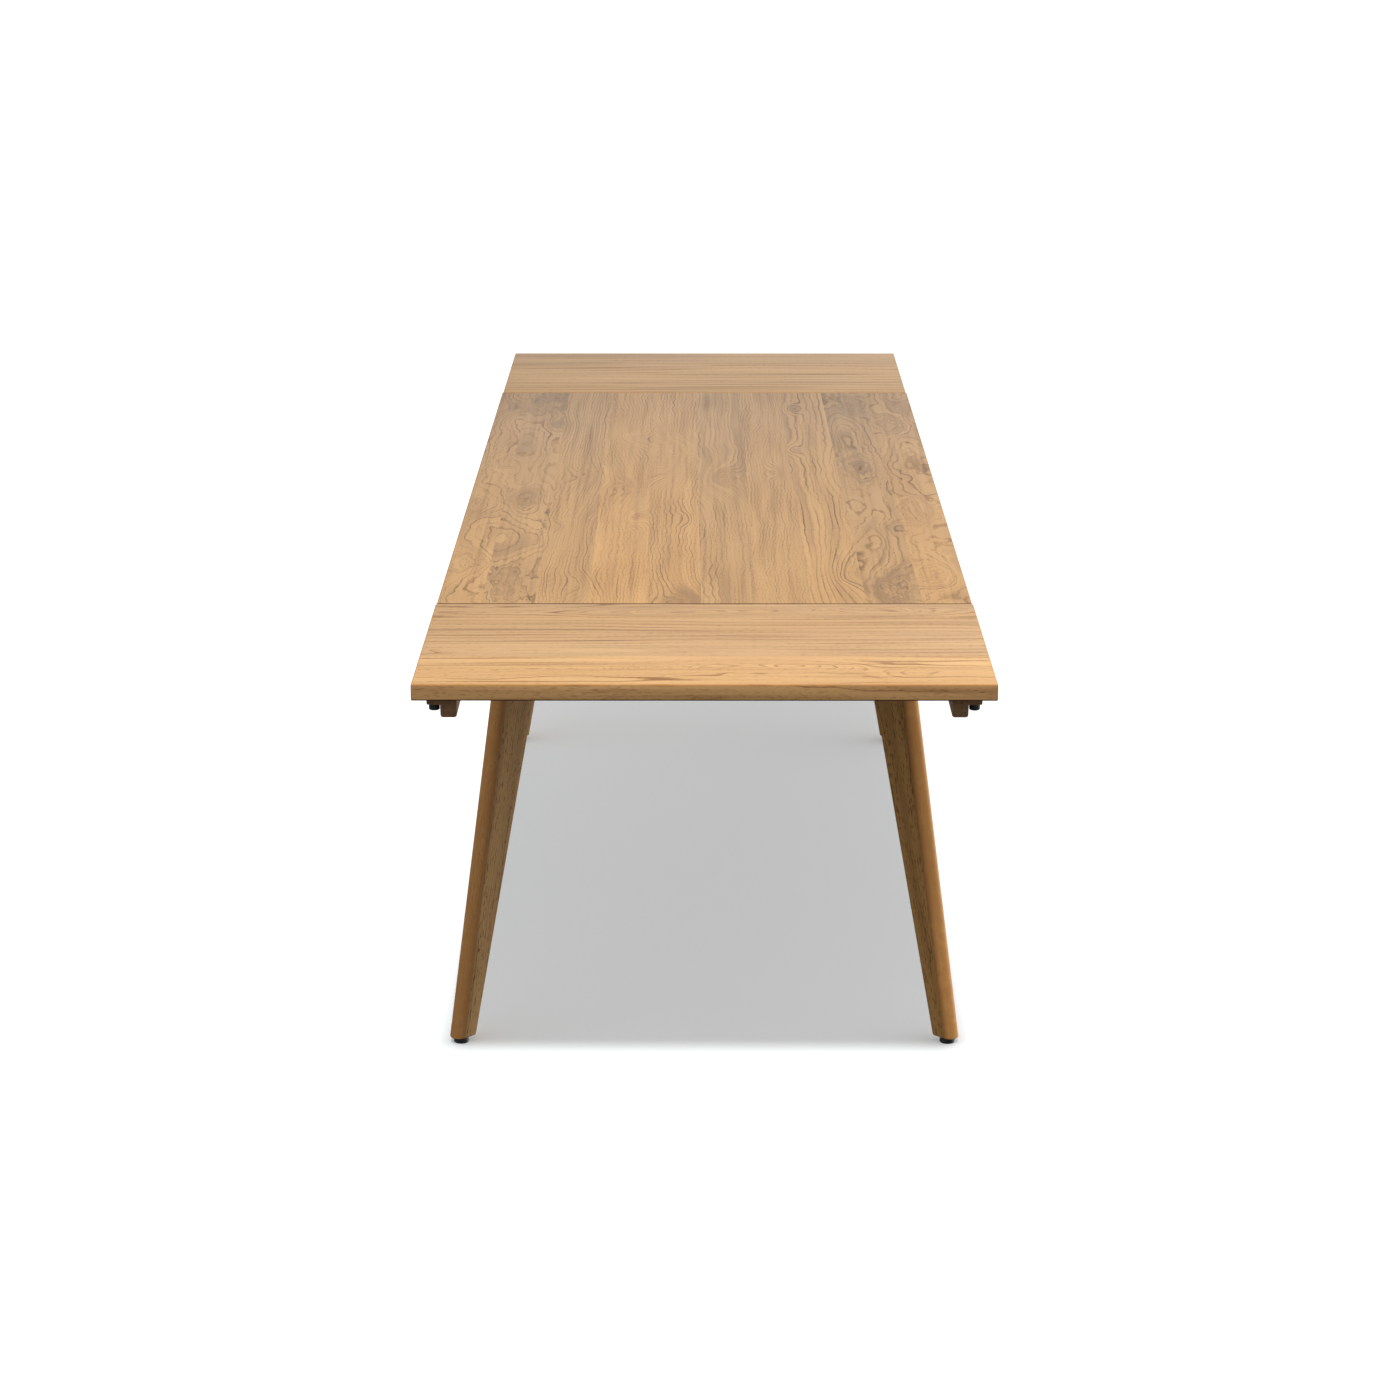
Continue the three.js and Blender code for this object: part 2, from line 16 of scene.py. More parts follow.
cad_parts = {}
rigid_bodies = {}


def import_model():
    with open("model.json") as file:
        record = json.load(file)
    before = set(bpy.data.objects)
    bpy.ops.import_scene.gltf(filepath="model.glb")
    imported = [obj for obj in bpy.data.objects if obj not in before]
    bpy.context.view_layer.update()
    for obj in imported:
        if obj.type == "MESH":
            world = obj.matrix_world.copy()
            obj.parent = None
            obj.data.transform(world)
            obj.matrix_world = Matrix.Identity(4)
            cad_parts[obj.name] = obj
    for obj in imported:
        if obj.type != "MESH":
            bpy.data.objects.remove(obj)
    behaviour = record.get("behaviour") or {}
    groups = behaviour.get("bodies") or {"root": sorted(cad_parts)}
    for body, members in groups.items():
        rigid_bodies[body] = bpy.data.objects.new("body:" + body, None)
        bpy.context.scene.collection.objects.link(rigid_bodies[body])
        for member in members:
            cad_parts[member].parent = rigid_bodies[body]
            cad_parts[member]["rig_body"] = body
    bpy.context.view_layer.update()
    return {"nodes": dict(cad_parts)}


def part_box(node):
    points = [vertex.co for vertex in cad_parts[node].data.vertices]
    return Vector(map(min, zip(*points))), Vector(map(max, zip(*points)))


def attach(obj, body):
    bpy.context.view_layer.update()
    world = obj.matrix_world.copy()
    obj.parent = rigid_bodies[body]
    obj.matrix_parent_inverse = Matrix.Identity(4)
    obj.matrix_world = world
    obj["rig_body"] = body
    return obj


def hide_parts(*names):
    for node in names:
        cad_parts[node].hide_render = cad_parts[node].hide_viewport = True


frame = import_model()

MM = 0.001
GAP = 0.3 * MM  # left between pieces that touch

X_AXIS = Vector((1, 0, 0))
Y_AXIS = Vector((0, 1, 0))
Z_AXIS = Vector((0, 0, 1))

ENDS = {"front": -1, "rear": 1}
SIDES = {"left": -1, "right": 1}
CORNERS = [(end, side) for end in ENDS for side in SIDES]

TOP_LOW, TOP_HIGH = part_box("main_top")
UNDERSIDE = TOP_LOW.z
FRAME_TOP = UNDERSIDE - GAP


# ---- Mesh building ----


def object_from(name, bm):
    """Links a new object that holds the bmesh, faces outwards, smooth but for its sharp edges."""
    bmesh.ops.recalc_face_normals(bm, faces=bm.faces)
    mesh = bpy.data.meshes.new(name)
    bm.to_mesh(mesh)
    bm.free()
    piece = bpy.data.objects.new(name, mesh)
    bpy.context.scene.collection.objects.link(piece)
    return piece


def smooth(piece, angle=32):
    piece.data.shade_smooth()
    piece.data.set_sharp_from_angle(angle=math.radians(angle))


def cut(piece, tools):
    """Cuts closed tool meshes, given as one bmesh each, out of a piece."""
    joined = bmesh.new()
    for tool in tools:
        bmesh.ops.recalc_face_normals(tool, faces=tool.faces)
        scratch = bpy.data.meshes.new("scratch")
        tool.to_mesh(scratch)
        tool.free()
        joined.from_mesh(scratch)
        bpy.data.meshes.remove(scratch)
    cutter = object_from("cutter", joined)
    modifier = piece.modifiers.new("cut", "BOOLEAN")
    modifier.operation = "DIFFERENCE"
    modifier.solver = "EXACT"
    modifier.object = cutter
    depsgraph = bpy.context.evaluated_depsgraph_get()
    mesh = bpy.data.meshes.new_from_object(piece.evaluated_get(depsgraph))
    piece.modifiers.clear()
    piece.data = mesh
    bpy.data.objects.remove(cutter)


def rounded(points, steps=4):
    """A closed outline whose (x, y, radius) corners are rounded by arcs; the radius may be left out."""
    outline = []
    for i, (x, y, *rest) in enumerate(points):
        corner = Vector((x, y))
        if not rest or rest[0] == 0:
            outline.append(corner)
            continue
        before = (Vector(points[i - 1][:2]) - corner).normalized()
        after = (Vector(points[(i + 1) % len(points)][:2]) - corner).normalized()
        half = before.angle(after) / 2
        centre = corner + (before + after).normalized() * rest[0] / math.sin(half)
        reach = rest[0] / math.tan(half)
        first = corner + before * reach - centre
        last = corner + after * reach - centre
        start = math.atan2(first.y, first.x)
        turn = (math.atan2(last.y, last.x) - start + math.pi) % math.tau - math.pi
        for step in range(steps + 1):
            angle = start + turn * step / steps
            outline.append(centre + rest[0] * Vector((math.cos(angle), math.sin(angle))))
    return outline


def loft(rings):
    """A closed solid through rings of points, all with the same count. Its last two faces are its ends."""
    bm = bmesh.new()
    made = [[bm.verts.new(point) for point in ring] for ring in rings]
    for lower, upper in zip(made, made[1:]):
        for i in range(len(lower)):
            bm.faces.new((lower[i - 1], lower[i], upper[i], upper[i - 1]))
    bm.faces.new(made[0])
    bm.faces.new(made[-1])
    return bm


def prism(outline, low, high, place, ease=0.0):
    """An outline carried from low to high; place(x, y, along) gives the point. Ease rounds both ends."""
    bm = loft([[place(x, y, along) for x, y in outline] for along in (low, high)])
    if ease:
        edges = [edge for end in bm.faces[-2:] for edge in end.edges]
        bmesh.ops.bevel(bm, geom=edges, offset=ease, segments=2, profile=0.5, affect="EDGES")
    return bm


def block(low, high, ease=0.0, segments=3):
    """A box between two corners, with all its edges rounded."""
    bm = bmesh.new()
    bmesh.ops.create_cube(bm, size=1)
    for vert in bm.verts:
        vert.co = [a + (b - a) * (c + 0.5) for a, b, c in zip(low, high, vert.co)]
    if ease:
        edges = bm.edges[:]
        bmesh.ops.bevel(bm, geom=edges, offset=ease, segments=segments, profile=0.5, affect="EDGES")
    return bm


def turned(profile, steps=40, shape=None, closed=False):
    """A solid turned about Z from (radius, height) points. shape(radius, height, angle) may vary the
    radius, and a closed profile makes a ring."""
    bm = bmesh.new()
    rings = []
    for radius, height in profile:
        if radius == 0:
            rings.append([bm.verts.new((0, 0, height))])
            continue
        ring = []
        for i in range(steps):
            angle = math.tau * i / steps
            r = shape(radius, height, angle) if shape else radius
            ring.append(bm.verts.new((r * math.cos(angle), r * math.sin(angle), height)))
        rings.append(ring)
    pairs = list(zip(rings, rings[1:]))
    if closed:
        pairs.append((rings[-1], rings[0]))
    for lower, upper in pairs:
        for i in range(steps):
            if len(lower) == 1:
                bm.faces.new((lower[0], upper[i], upper[i - 1]))
            elif len(upper) == 1:
                bm.faces.new((lower[i - 1], lower[i], upper[0]))
            else:
                bm.faces.new((lower[i - 1], lower[i], upper[i], upper[i - 1]))
    return bm


def moved(bm, matrix):
    bmesh.ops.transform(bm, matrix=matrix, verts=bm.verts)
    return bm


def along_line(start, finish):
    """The matrix that carries +Z at the origin onto the line from start to finish."""
    direction = Vector(finish) - Vector(start)
    return Matrix.Translation(start) @ direction.to_track_quat("Z", "Y").to_matrix().to_4x4()


def bar(start, finish, radius):
    """A plain round bar, which the holes are cut with."""
    length = (Vector(finish) - Vector(start)).length
    profile = [(0, 0), (radius, 0), (radius, length), (0, length)]
    return moved(turned(profile, 32), along_line(start, finish))


def merge(parts):
    """One bmesh from several."""
    whole = bmesh.new()
    for part in parts:
        scratch = bpy.data.meshes.new("scratch")
        part.to_mesh(scratch)
        part.free()
        whole.from_mesh(scratch)
        bpy.data.meshes.remove(scratch)
    return whole


# Turned details


def thread(radius, depth, pitch):
    """A shape for turned() that cuts a screw thread into a shank of that radius."""

    def shape(r, height, angle):
        if abs(r - radius) > depth / 10:
            return r
        phase = (height / pitch - angle / math.tau) % 1
        return r - depth * abs(2 * phase - 1)

    return shape


def shank(radius, low, high, pitch):
    """Profile points along a shank, close enough together to carry its thread."""
    rings_per_pitch = 6
    count = round((high - low) / pitch * rings_per_pitch)
    return [(radius, low + (high - low) * i / count) for i in range(count + 1)]


def pin(radius, length, ease):
    """The profile of a round pin with chamfered ends."""
    half = [(0, 0), (radius - ease, 0), (radius, ease)]
    return half + [(r, length - height) for r, height in reversed(half)]


def rounded_rim(radius, low, rounding, steps):
    """Profile points round the lower edge of a turned disc."""
    angles = [math.radians(90 * step / steps) for step in range(steps + 1)]
    return [(radius - rounding * (1 - math.sin(a)), low + rounding * (1 - math.cos(a))) for a in angles]


def hexagon(apothem, angle):
    """How far a hexagon's outline is from its middle, at an angle."""
    sixth = math.pi / 3
    return apothem / math.cos((angle + sixth / 2) % sixth - sixth / 2)


# ---- Where a piece goes, and what it stands for ----


def stand_for(piece, nodes, material, sharp=32):
    """The smoothed piece rides on its nodes' body, stands in their place, and takes the slot's finish."""
    smooth(piece, sharp)
    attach(piece, frame["nodes"][nodes[0]]["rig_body"])
    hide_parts(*nodes)
    piece.data.materials.clear()
    piece.data.materials.append(material)


# ---- Boards: how the grain lies in a piece, written on the corners of its mesh for the oak material ----

SPOTS = 4  # as many as a board can have


class Board:
    """One board of a piece: its own axes, its place in the log, and its figure.

    pith is where the heart of the log lies from the middle of the face: across, then below. wave,
    burl and lines say how strongly the rings ripple, swirl and show. light, warm and stain set the
    tone; light also holds painted light, where a board is made paler or darker for how it is lit.
    fade is how much darker the board gets in a metre along: a painted falloff of the light. Each spot
    is (along, across, size, rings, darkness): a place that the rings bend round, stretched that many
    times along. A rubbed board takes the rim colour all over: on the legs' noses, a painted highlight.
    """

    def __init__(
        self, seed, origin, along, across, pith=(0.0, 0.07), spacing=0.0035, wave=0.3, burl=0.2,
        lines=0.8, light=1.0, fade=0.0, warm=0.5, stain=0.2, stretch=3.0, spots=(), rubbed=False,
    ):
        self.seed = seed
        self.origin = Vector(origin)
        self.along = Vector(along).normalized()
        self.across = Vector(across).normalized()
        self.depth = self.along.cross(self.across)
        if self.depth.z < 0:
            self.depth.negate()
        self.log = (seed, *pith, spacing)
        self.figure = (wave, burl, lines)
        self.light = light
        self.fade = fade
        self.tone = (warm, stain)
        self.stretch = stretch
        self.rubbed = rubbed
        none = (0.0, 0.0, 1.0, 0.0, 0.0)
        self.spots = (list(spots) + [none] * SPOTS)[:SPOTS]

    def grain(self, point):
        offset = point - self.origin
        return offset.dot(self.along), offset.dot(self.across), offset.dot(self.depth)


# eased edges take the rim colour: wear, and on the rails and the legs' noses a painted highlight; dark
# edges take painted shade
PLAIN_FACE, WEAR_AND_HIGHLIGHT_EDGE, DARK_EDGE = 0.0, 1.0, 2.0


def lay_grain(piece, board_of, has_dark_edge=None):
    """Writes each corner's place in its board, and the board's figure. board_of(middle of a face)
    gives the board, and has_dark_edge(middle) tells where the rounded edges take painted shade."""
    mesh = piece.data
    layers = ["grain", "log", "figure", "tone", "spot_dark", *(f"spot_{i}" for i in range(SPOTS))]
    values = {name: [] for name in layers}
    for face in mesh.polygons:
        board = board_of(face.center)
        normal = face.normal
        eased = max(abs(normal.dot(axis)) for axis in (board.along, board.across, board.depth)) < 0.995
        edge = WEAR_AND_HIGHLIGHT_EDGE if eased or board.rubbed else PLAIN_FACE
        # painted shade on the front joint's edges and the lower edges
        if eased and has_dark_edge and has_dark_edge(face.center):
            edge = DARK_EDGE
        end_grain = abs(normal.dot(board.along))
        for vertex in face.vertices:
            place = board.grain(mesh.vertices[vertex].co)
            values["grain"] += (*place, board.stretch)
            values["log"] += board.log
            values["figure"] += (*board.figure, end_grain)
            # the board's light, darkened along the grain by its fade: a painted falloff of the light
            values["tone"] += (board.light * (1 - board.fade * place[0]), *board.tone, edge)
            values["spot_dark"] += [spot[4] for spot in board.spots]
            for i, spot in enumerate(board.spots):
                values[f"spot_{i}"] += spot[:4]
    for name in layers:
        attribute = mesh.attributes.new(name, "FLOAT_COLOR", "CORNER")
        attribute.data.foreach_set("color", values[name])


# ---- Materials ----


class Nodes:
    """Builds a shader: each call adds one node and returns its result."""

    def __init__(self, name):
        self.material = bpy.data.materials.new(name)
        self.material.use_nodes = True
        self.tree = self.material.node_tree
        self.shader = self.tree.nodes["Principled BSDF"]

    def put(self, socket, value):
        if isinstance(value, bpy.types.NodeSocket):
            self.tree.links.new(value, socket)
        else:
            socket.default_value = value

    def add(self, kind, inputs=(), **settings):
        node = self.tree.nodes.new(kind)
        for key, value in settings.items():
            setattr(node, key, value)
        for key, value in dict(inputs).items():
            self.put(node.inputs[key], value)
        return node

    def attribute(self, name):
        node = self.add("ShaderNodeAttribute", attribute_name=name)
        return self.split(node.outputs["Vector"]) + [node.outputs["Alpha"]]

    def split(self, vector):
        return list(self.add("ShaderNodeSeparateXYZ", {0: vector}).outputs)

    def vector(self, x, y, z):
        return self.add("ShaderNodeCombineXYZ", {0: x, 1: y, 2: z}).outputs[0]

    def math(self, operation, a, b=0.0, clamp=False):
        node = self.add("ShaderNodeMath", operation=operation, use_clamp=clamp)
        for socket, value in zip(node.inputs, (a, b)):
            self.put(socket, value)
        return node.outputs[0]

    def plus(self, *terms):
        total = terms[0]
        for term in terms[1:]:
            total = self.math("ADD", total, term)
        return total

    def times(self, *factors):
        product = factors[0]
        for factor in factors[1:]:
            product = self.math("MULTIPLY", product, factor)
        return product

    def between(self, value, low, high, result_low=0.0, result_high=1.0):
        """Maps low..high smoothly onto result_low..result_high, and stays inside them."""
        inputs = {"Value": value, "From Min": low, "From Max": high}
        inputs.update({"To Min": result_low, "To Max": result_high})
        return self.add("ShaderNodeMapRange", inputs, interpolation_type="SMOOTHSTEP").outputs[0]

    def noise(self, vector, seed=0.0, detail=2.0, roughness=0.5, scale=1.0):
        inputs = {"Vector": vector, "W": seed, "Scale": scale, "Detail": detail}
        inputs["Roughness"] = roughness
        return self.add("ShaderNodeTexNoise", inputs, noise_dimensions="4D")

    def mix(self, factor, a, b, blend_type="MIX"):
        node = self.add("ShaderNodeMix", data_type="RGBA", blend_type=blend_type)
        self.put(node.inputs["Factor"], factor)
        self.put(node.inputs[6], a)
        self.put(node.inputs[7], b)
        return node.outputs[2]

    def bump(self, height, distance, strength=1.0):
        inputs = {"Height": height, "Distance": distance, "Strength": strength}
        self.put(self.shader.inputs["Normal"], self.add("ShaderNodeBump", inputs).outputs[0])

    def finish(self, **values):
        """Sets the shader's own sockets: base_color=..., roughness=... and so on."""
        for key, value in values.items():
            self.put(self.shader.inputs[key.replace("_", " ").title().replace("Ior", "IOR")], value)
        return self.material


def colour(r, g, b):
    return (r, g, b, 1.0)


# painted shade for the dark edges: the front joint's groove and the lower edges
EDGE_SHADE = colour(0.09, 0.028, 0.005)


def oak(name, pale, deep, line, stain, rim_wear_and_highlight, flecks, streaks=1.0, sheen=0.35, rough=0.5):
    """Oiled oak. The rings are distances from the pith of the log, which wanders, so that the figure
    runs on truly from a face to its edge and to the end grain."""
    n = Nodes(name)
    along, across, depth, stretch = n.attribute("grain")
    seed, pith_across, pith_depth, spacing = n.attribute("log")
    wave, burl, lines, end_grain = n.attribute("figure")
    light, warm, stained, edge = n.attribute("tone")
    darks = n.attribute("spot_dark")

    def around(value, reach):
        return n.times(n.math("SUBTRACT", value, 0.5), reach)

    def grain_noise(along_scale, across_scale, detail=1.0, offset=0.0):
        place = (n.times(along, along_scale), n.times(across, across_scale), n.times(depth, across_scale))
        return n.noise(n.vector(*place), n.plus(seed, offset), detail)

    # the wandering of the pith, slow along the grain, with swirls and crinkles where the board is burred
    slow_x, slow_y, _ = n.split(grain_noise(1.5, 4).outputs[1])
    swirl_x, swirl_y, swirl_z = n.split(grain_noise(4.2, 17, 0.6).outputs[1])
    crinkle = grain_noise(20, 75, 1).outputs[0]
    ripple = grain_noise(17, 6, 0.5).outputs[0]
    swirl_reach = n.times(burl, 0.075)
    side = n.plus(
        n.math("SUBTRACT", across, pith_across), around(slow_x, 0.055), around(swirl_x, swirl_reach)
    )
    down = n.plus(depth, pith_depth, around(slow_y, 0.05), around(swirl_y, swirl_reach))
    distance = n.math("SQRT", n.plus(n.times(side, side), n.times(down, down)))
    distance = n.plus(
        distance, n.times(along, 0.014), around(ripple, n.times(wave, 0.02)),
        around(crinkle, n.times(burl, 0.009)),
    )

    # spots that the rings bend round: knots, eyes and burrs
    shade = 0.0
    for i in range(SPOTS):
        place_along, place_across, size, rings = n.attribute(f"spot_{i}")
        off_along = n.math("DIVIDE", n.math("SUBTRACT", along, place_along), n.times(size, stretch))
        off_across = n.math("DIVIDE", n.math("SUBTRACT", across, place_across), size)
        off = n.plus(n.times(off_along, off_along), n.times(off_across, off_across))
        off = n.plus(off, around(swirl_z, 3.4), around(crinkle, n.times(burl, 1.6)), around(ripple, 0.8))
        near = n.math("MINIMUM", n.math("EXPONENT", n.times(off, -1.0)), 1.5)
        distance = n.plus(distance, n.times(near, rings))
        shade = n.plus(shade, n.times(n.between(near, 0.05, 1.1), darks[i]))

    # dark late wood in a thin line, with a painted highlight, a shimmer, just before it; some rings show
    # more than others
    ring = n.math("DIVIDE", distance, spacing)
    phase = n.math("FRACT", ring)
    whole = n.math("FLOOR", ring)
    dark_line = n.math("MAXIMUM", n.between(phase, 0.0, 0.34, 1.0, 0.0), n.between(phase, 0.92, 1.0))
    painted_shimmer = n.times(n.between(phase, 0.6, 0.86), n.between(phase, 0.86, 0.94, 1.0, 0.0))
    ring_noise = n.noise(n.vector(whole, n.times(along, 2.6), n.times(across, 7)), seed, 1).outputs[0]
    ring_tone = n.between(ring_noise, 0.42, 0.68)
    band = n.noise(n.vector(n.times(distance, 42), 0.0, 0.0), n.plus(seed, 3.0), 1).outputs[0]

    # pores drawn out along the grain, crowded beside the lines, streaks, rays and clouds
    pores = n.between(grain_noise(55, 1500, 2).outputs[0], 0.54, 0.72)
    pores = n.times(pores, n.plus(0.3, n.times(dark_line, 0.7)))
    streak = grain_noise(3.5, 170, 2).outputs[0]
    broad_streak = grain_noise(1.3, 60, 2, 5.0).outputs[0]
    ray_place = n.vector(n.times(along, 130), n.times(across, 420), n.times(depth, 60))
    rays = n.between(n.noise(ray_place, seed, 1).outputs[0], 0.66, 0.8)
    cloud_tone, cloud_stain, cloud_speck = n.split(grain_noise(2.6, 13, 1.5, 9.0).outputs[1])
    speck = n.between(grain_noise(48, 150, 1, 2.0).outputs[0], 0.6, 0.7)
    speck = n.times(speck, n.between(cloud_speck, 0.48, 0.62), burl)
    fleck = n.between(grain_noise(95, 430, 1.5, 13.0).outputs[0], 0.5, 0.68)

    # colour
    strength = n.times(n.plus(0.16, n.times(ring_tone, 0.84)), lines)
    darkness = n.plus(
        n.times(dark_line, strength, 0.9), around(streak, streaks),
        around(broad_streak, 1.1 * streaks),
        n.times(painted_shimmer, strength, -0.2), n.times(speck, 0.5),
        n.times(fleck, flecks), 0.08 - flecks / 3,
    )
    tone = n.plus(n.times(n.between(cloud_tone, 0.3, 0.7), 0.55), n.times(n.between(band, 0.4, 0.6), 0.45))
    body = n.mix(tone, pale, deep)
    body = n.mix(n.math("MAXIMUM", darkness, 0.0, clamp=True), body, line)
    patch = n.times(n.between(cloud_stain, 0.47, 0.62), n.between(band, 0.46, 0.56))
    patch = n.plus(n.times(patch, stained), n.times(shade, n.between(band, 0.36, 0.58, 0.35, 1.3)))
    body = n.mix(n.math("MINIMUM", patch, 0.75), body, stain)
    body = n.mix(n.times(pores, 0.35), body, colour(*(c * 0.45 for c in line[:3])))
    body = n.mix(n.times(rays, 0.14), body, colour(0.72, 0.55, 0.36))
    warmed = n.mix(1.0, body, colour(1.05, 0.965, 0.8), "MULTIPLY")
    cooled = n.mix(1.0, body, colour(0.95, 1.0, 1.14), "MULTIPLY")
    body = n.mix(warm, cooled, warmed)
    body = n.mix(n.times(n.between(end_grain, 0.6, 0.95), 0.45), body, line)
    # rounded edges and rubbed boards take the rim colour: wear, and a painted highlight on the rails' edges
    # and the legs' noses
    wear = n.between(n.noise(n.vector(along, across, depth), 3.0, 3, scale=60).outputs[0], 0.3, 0.6)
    rubbed = n.math("MINIMUM", edge, 1.0)
    body = n.mix(n.times(rubbed, n.plus(0.55, n.times(wear, 0.35))), body, rim_wear_and_highlight)
    # dark edges take painted shade
    body = n.mix(n.between(edge, WEAR_AND_HIGHLIGHT_EDGE, DARK_EDGE), body, EDGE_SHADE)
    # the board's light: its own tone, with painted light: the falloff along the staves and the front leaf,
    # and the highlight on the legs' noses
    body = n.mix(1.0, body, n.vector(light, light, light), "MULTIPLY")

    # surface
    roughness = n.plus(rough, n.times(dark_line, 0.08), n.times(pores, 0.12), around(streak, 0.16))
    height = n.plus(n.times(dark_line, -0.25), n.times(pores, -1.0), n.times(streak, 0.3))
    n.bump(height, 0.25 * MM, 0.6)
    return n.finish(base_color=body, roughness=roughness, specular_ior_level=sheen)


def beech(name):
    """Turned beech: pale, with short dark flecks and fine rings."""
    n = Nodes(name)
    place = n.add("ShaderNodeTexCoord").outputs["Object"]
    x, y, z = n.split(place)
    long = n.noise(n.vector(n.times(x, 300), n.times(y, 40), n.times(z, 300)), 1.0, 2).outputs[0]
    fleck = n.noise(n.vector(n.times(x, 900), n.times(y, 260), n.times(z, 900)), 2.0, 1).outputs[0]
    body = n.mix(n.between(long, 0.3, 0.7), colour(0.56, 0.36, 0.2), colour(0.44, 0.26, 0.13))
    body = n.mix(n.between(fleck, 0.6, 0.75, 0.0, 0.6), body, colour(0.22, 0.11, 0.05))
    n.bump(n.plus(long, fleck), 0.1 * MM, 0.5)
    return n.finish(base_color=body, roughness=n.between(long, 0.2, 0.8, 0.5, 0.66))


def moulded_plastic(name):
    """Black satin plastic with the fine spark texture of its mould, rubbed a little by hands and floor."""
    n = Nodes(name)
    place = n.add("ShaderNodeTexCoord").outputs["Object"]
    grain = n.noise(place, 0.0, 2, scale=1900).outputs[0]
    rubbed = n.noise(place, 5.0, 3, scale=140).outputs[0]
    body = n.mix(n.between(rubbed, 0.4, 0.75), colour(0.007, 0.007, 0.0075), colour(0.02, 0.02, 0.021))
    n.bump(grain, 0.06 * MM, 0.6)
    return n.finish(base_color=body, roughness=n.between(rubbed, 0.3, 0.7, 0.38, 0.55))


def plated_metal(name, bright, dull, stained, roughness):
    """Plated or turned metal: fine tool marks, clouded plating and a little tarnish."""
    n = Nodes(name)
    place = n.add("ShaderNodeTexCoord").outputs["Object"]
    x, y, z = n.split(place)
    marks = n.noise(n.vector(n.times(x, 260), n.times(y, 260), n.times(z, 2600)), 0.0, 2).outputs[0]
    cloud = n.noise(place, 2.0, 4, 0.6, scale=90).outputs[0]
    tarnish = n.noise(place, 7.0, 5, 0.65, scale=45).outputs[0]
    body = n.mix(n.between(cloud, 0.35, 0.65), bright, dull)
    body = n.mix(n.between(tarnish, 0.56, 0.72, 0.0, 0.5), body, stained)
    n.bump(marks, 0.05 * MM, 0.5)
    rough = n.plus(roughness - 0.12, n.times(cloud, 0.16), n.times(marks, 0.1))
    return n.finish(base_color=body, roughness=rough, metallic=1.0)


TOP_OAK = oak(
    "top_oak", pale=colour(0.57, 0.345, 0.155), deep=colour(0.475, 0.278, 0.122),
    line=colour(0.19, 0.1, 0.042), stain=colour(0.27, 0.158, 0.078), rim_wear_and_highlight=colour(0.45, 0.185, 0.042),
    flecks=0.34, streaks=1.15,
)
LEAF_OAK = oak(
    "leaf_oak", pale=colour(0.64, 0.4, 0.19), deep=colour(0.55, 0.33, 0.152),
    line=colour(0.27, 0.135, 0.05), stain=colour(0.36, 0.22, 0.115), rim_wear_and_highlight=colour(0.5, 0.23, 0.06),
    flecks=0.4, streaks=1.6,
)
FRAME_OAK = oak(
    "frame_oak", pale=colour(0.45, 0.265, 0.1), deep=colour(0.36, 0.2, 0.07),
    line=colour(0.17, 0.085, 0.033), stain=colour(0.2, 0.12, 0.06), rim_wear_and_highlight=colour(0.3, 0.14, 0.045),
    flecks=0.9, streaks=1.6, sheen=0.12, rough=0.58,
)
# the rails' pale pink rim colour is a painted highlight on their rounded edges
RAIL_OAK = oak(
    "rail_oak", pale=colour(0.32, 0.19, 0.1), deep=colour(0.25, 0.145, 0.072),
    line=colour(0.12, 0.065, 0.033), stain=colour(0.15, 0.1, 0.065), rim_wear_and_highlight=colour(0.42, 0.27, 0.18),
    flecks=0.9, streaks=1.6, sheen=0.12, rough=0.58,
)
BEECH = beech("beech")
PLASTIC = moulded_plastic("black_plastic")
STEEL = plated_metal(
    "zinc_steel", colour(0.62, 0.63, 0.65), colour(0.46, 0.47, 0.48), colour(0.3, 0.29, 0.26), 0.36
)
BRASS = plated_metal(
    "brass", colour(0.66, 0.46, 0.17), colour(0.52, 0.35, 0.12), colour(0.25, 0.16, 0.07), 0.3
)


# ---- Top and leaves ----

EASED_EDGE = 2.2 * MM
MAIN_TOP_NARROWER = 1.5 * MM  # than the front leaf, on each side
REAR_LEAF_NARROWER = 3 * MM
TOP_Z = TOP_HIGH.z
MAIN_END = TOP_HIGH.y

DOWEL_X = 280 * MM
DOWEL_RADIUS = 4 * MM
DOWEL_LENGTH = 40 * MM
DOWEL_Z = (UNDERSIDE + TOP_Z) / 2

KNOB_X = 394 * MM
KNOB_Y = 1338 * MM
KNOB_TRAVEL = 5 * MM
KNOB_STUD_RADIUS = 3 * MM
LEAF_LENGTH = 475 * MM
THREAD_CLEARANCE = 0.5 * MM
INSERT_RADIUS = 6 * MM
INSERT_LENGTH = 14 * MM

# The main top's glued joints, as X at mid-length. They run a little askew of the edges.
STAVE_JOINTS = [x * MM for x in (-359.5, -275.5, -190, -99.5, -12, 76.5, 162, 250, 339)]
JOINT_SKEW = -0.0078
FRONT_LEAF_JOINTS = [y * MM for y in (-1218, -1080, -990)]
REAR_LEAF_JOINTS = [y * MM for y in (1010, 1120, 1235)]
LEAF_STRETCH = 9.0  # the spots of a leaf are drawn out far along its grain
